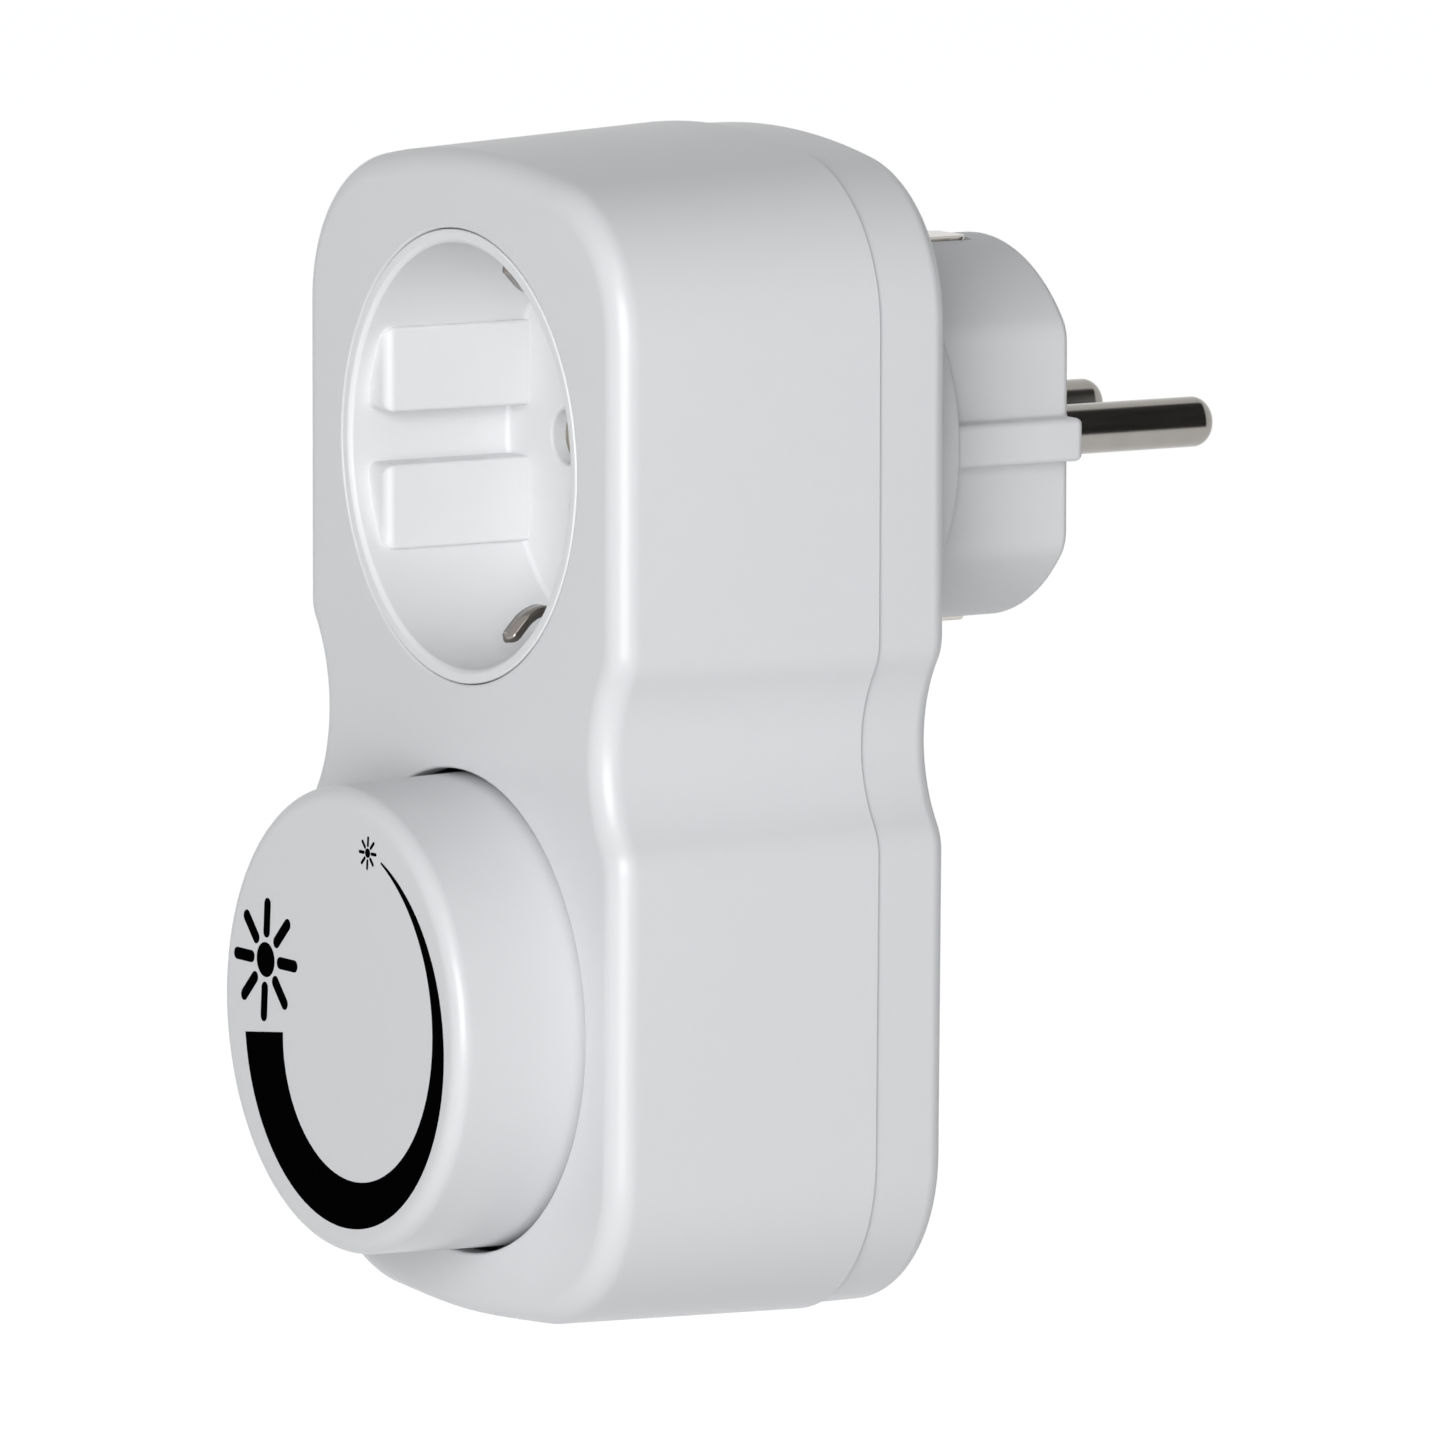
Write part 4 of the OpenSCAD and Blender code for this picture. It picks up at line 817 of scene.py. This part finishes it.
socket_arm = [
    (0, 27.75), (8, 27.75), (16.6, 27.75), (17.5, 28.05), (17.85, 28.9), (17.85, 35.0), (17.85, 41.5),
    (17.35, 43.6), (16.4, 46.4), (15.3, 48.0), (14.92, 49.0), (15.15, 50.0), (15.65, 50.9),
    (16.45, 51.7), (17.15, 52.4), (17.32, 53.1)
]
plug_arm = [
    (0, 26.85), (8, 26.85), (16.8, 26.85), (17.6, 26.6), (17.85, 25.8), (17.85, 20.0), (17.85, 12.0),
    (17.85, 6.0), (17.85, 3.6)
]
bent_strip("earth_clips", socket_arm, lambda out: CLIP_HALF if out > CLIP_NECK else CLIP_FOOT_HALF,
           clip_nickel_painted_dark, "socket_earth_strap")
bent_strip("plug_earth_spring", plug_arm, lambda out: STRAP_HALF, spring_nickel, "plug_earth_strap")

steel = metal("screw_steel", (0.5, 0.5, 0.51), 0.3, along=(20.0, 60.0, 20.0))
brass = metal("contact_brass", (0.72, 0.52, 0.2), 0.28, along=(60.0, 10.0, 60.0))
aluminium = metal("sink_aluminium", (0.72, 0.73, 0.74), 0.38, along=(8.0, 8.0, 80.0), streak=0.2)
coil_spring("shutter_spring", axis=1, fixed=True, travel=6.0, wire=0.35, turns=6,
            finish=steel)
coil_spring("switch_spring", axis=2, fixed=False, travel=1.5, wire=0.4, turns=4,
            finish=steel)

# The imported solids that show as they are
black_case = moulded("black_case", (0.02, 0.02, 0.022), 0.4, cloud=0.3)
kept = {
    "shutter": moulded("shutter_white", (0.74, 0.745, 0.75), 0.36),
    "contact_carrier": moulded("carrier_ivory", (0.68, 0.65, 0.56), 0.45),
    "switch_plunger": moulded("plunger_red", (0.45, 0.03, 0.02), 0.4, cloud=0.15),
    "pot_case": black_case,
    "switch_case": black_case,
    "triac": moulded("device_resin", (0.028, 0.028, 0.03), 0.55, cloud=0.3),
    "pot_rotor": moulded("rotor_tan", (0.45, 0.34, 0.2), 0.5, cloud=0.1),
    "control_shaft": moulded("shaft_grey", (0.2, 0.2, 0.21), 0.45, cloud=0.1),
    "film_capacitor": moulded("capacitor_resin", (0.6, 0.5, 0.18), 0.3, cloud=0.08),
    "live_wire": moulded("wire_brown", (0.16, 0.06, 0.025), 0.45, cloud=0.1),
    "load_wire": moulded("wire_black", (0.018, 0.018, 0.02), 0.45, cloud=0.2),
    "neutral_wire": moulded("wire_blue", (0.03, 0.09, 0.4), 0.45, cloud=0.1),
    "circuit_board": laminate("board_laminate"),
    "suppression_choke": winding("choke_winding"),
    "fuse": fuse_glass("fuse_glass"),
    "small_components": banded("axial_lacquer", (0.5, 0.36, 0.2), (0.25, 0.05, 0.02)),
    "heat_sink": aluminium,
    "socket_contact_left": brass,
    "socket_contact_right": brass,
    "earth_rivet": spring_nickel,
    "pot_bushing": brass,
    "fuse_clips": spring_nickel,
    "housing_screws": steel,
    "board_screws": steel,
    "triac_screw": steel,
}
for name, finish in kept.items():
    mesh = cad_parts[name].data
    mesh.materials.clear()
    mesh.materials.append(finish)


# Studio

def stage_sheet(name, points, faces, finish, seen=True):
    """A sheet of the studio, such as its floor."""
    mesh = bpy.data.meshes.new(name)
    mesh.from_pydata(points, [], faces)
    obj = bpy.data.objects.new(name, mesh)
    bpy.context.scene.collection.objects.link(obj)
    mesh.materials.append(finish)
    obj.visible_camera = seen


def pin_flag(finish):
    """A dark arch behind the right pin, for the reflections in both; the camera doesn't see it."""
    turns = [math.radians(a) for a in FLAG_TURNS]
    points = [
        (PIN_X * MM + FLAG_R * math.cos(t), y, FLAG_R * math.sin(t))
        for t in turns for y in (FLAG_NEAR, FLAG_FAR)
    ]
    faces = [(i, i + 1, i + 3, i + 2) for i in range(0, len(points) - 2, 2)]
    stage_sheet("pin_flag", points, faces, finish, seen=False)


def seen_white(paint):
    """1 for a ray that looks straight, in a mirror or through glass at the studio, else 0."""
    rays = [paint.node("ShaderNodeLightPath", out=name)
            for name in ("Is Camera Ray", "Is Glossy Ray", "Is Transmission Ray")]
    return rays[0] + rays[1] + rays[2]


def floor_white():
    """Pale floor that looks white and still takes the object's shadow."""
    made, p = finish_named("floor_white")
    matt = p.node("ShaderNodeBsdfDiffuse", None, {"Color": (0.85, 0.85, 0.85, 1)})
    bright = p.node("ShaderNodeEmission", None, {
        "Color": p.between(seen_white(p), (0.1, 0.1, 0.1), (0.87, 0.87, 0.87)), "Strength": 1.0})
    both = p.node("ShaderNodeAddShader", None, {0: matt, 1: bright})
    p.node("ShaderNodeOutputMaterial", None, {"Surface": both})
    return made


def dark_card():
    """Dark felt."""
    made, p = finish_named("dark_card")
    felt = p.noise(60.0)
    p.surface(base_color=p.between(felt, (0.05, 0.05, 0.05), (0.065, 0.065, 0.065)), roughness=0.9)
    return made


def towards(azimuth, elevation):
    """Direction from the object, in degrees; azimuth 0 is in front of it."""
    a, e = math.radians(azimuth), math.radians(elevation)
    return Vector((math.sin(a) * math.cos(e), -math.cos(a) * math.cos(e), math.sin(e)))


def lamp(name, azimuth, elevation, distance, size, power):
    """A square soft box, aimed at the middle of the object."""
    light = bpy.data.lights.new(name, "AREA")
    light.shape, light.size, light.energy = "SQUARE", size, power
    obj = bpy.data.objects.new(name, light)
    back = towards(azimuth, elevation)
    obj.location = Vector(LAMP_AIM) + back * distance
    obj.rotation_mode = "QUATERNION"
    obj.rotation_quaternion = back.to_track_quat("Z", "Y")
    bpy.context.scene.collection.objects.link(obj)


def pale_world():
    """A world that looks white, also in mirrors, and sheds only a dim light on the object."""
    made = bpy.data.worlds.new("studio")
    p = Paint(made)
    tone = p.between(seen_white(p), (0.14, 0.143, 0.148), (1, 1, 1))
    light = p.node("ShaderNodeBackground", None, {"Color": tone, "Strength": 1.0})
    p.node("ShaderNodeOutputWorld", None, {"Surface": light})
    return made


def photo_camera():
    """The camera as it stood for the photo."""
    lens = bpy.data.cameras.new("photo_camera")
    lens.sensor_width, lens.lens = CAMERA_SENSOR, CAMERA_LENS
    lens.clip_start, lens.clip_end = 0.05, 50.0
    obj = bpy.data.objects.new("photo_camera", lens)
    azimuth, roll = math.radians(CAMERA_TURN), math.radians(CAMERA_ROLL)
    back = towards(CAMERA_TURN, CAMERA_RISE)
    level = Vector((math.cos(azimuth), math.sin(azimuth), 0))
    upright = back.cross(level)
    right = math.cos(roll) * level + math.sin(roll) * upright
    up = math.cos(roll) * upright - math.sin(roll) * level
    aim = (back - SHIFT_RIGHT * right + SHIFT_UP * up).normalized()
    right = (right - aim * right.dot(aim)).normalized()
    turn = Matrix((right, aim.cross(right), aim)).transposed()
    obj.matrix_world = Matrix.Translation(Vector(CAMERA_AT)) @ turn.to_4x4()
    bpy.context.scene.collection.objects.link(obj)
    return obj


scene = bpy.context.scene
scene.view_settings.view_transform = "Standard"
scene.world = pale_world()
floor_corners = [
    (x * FLOOR_REACH, y * FLOOR_REACH, FLOOR_Z) for x, y in ((-1, -1), (1, -1), (1, 1), (-1, 1))
]
stage_sheet("floor", floor_corners, [(0, 1, 2, 3)], floor_white())
pin_flag(dark_card())
lamp("key_box", azimuth=49, elevation=9, distance=1.5, size=0.9, power=18.3)
lamp("high_box", azimuth=55, elevation=45, distance=1.5, size=0.6, power=1.5)

scene.camera = photo_camera()
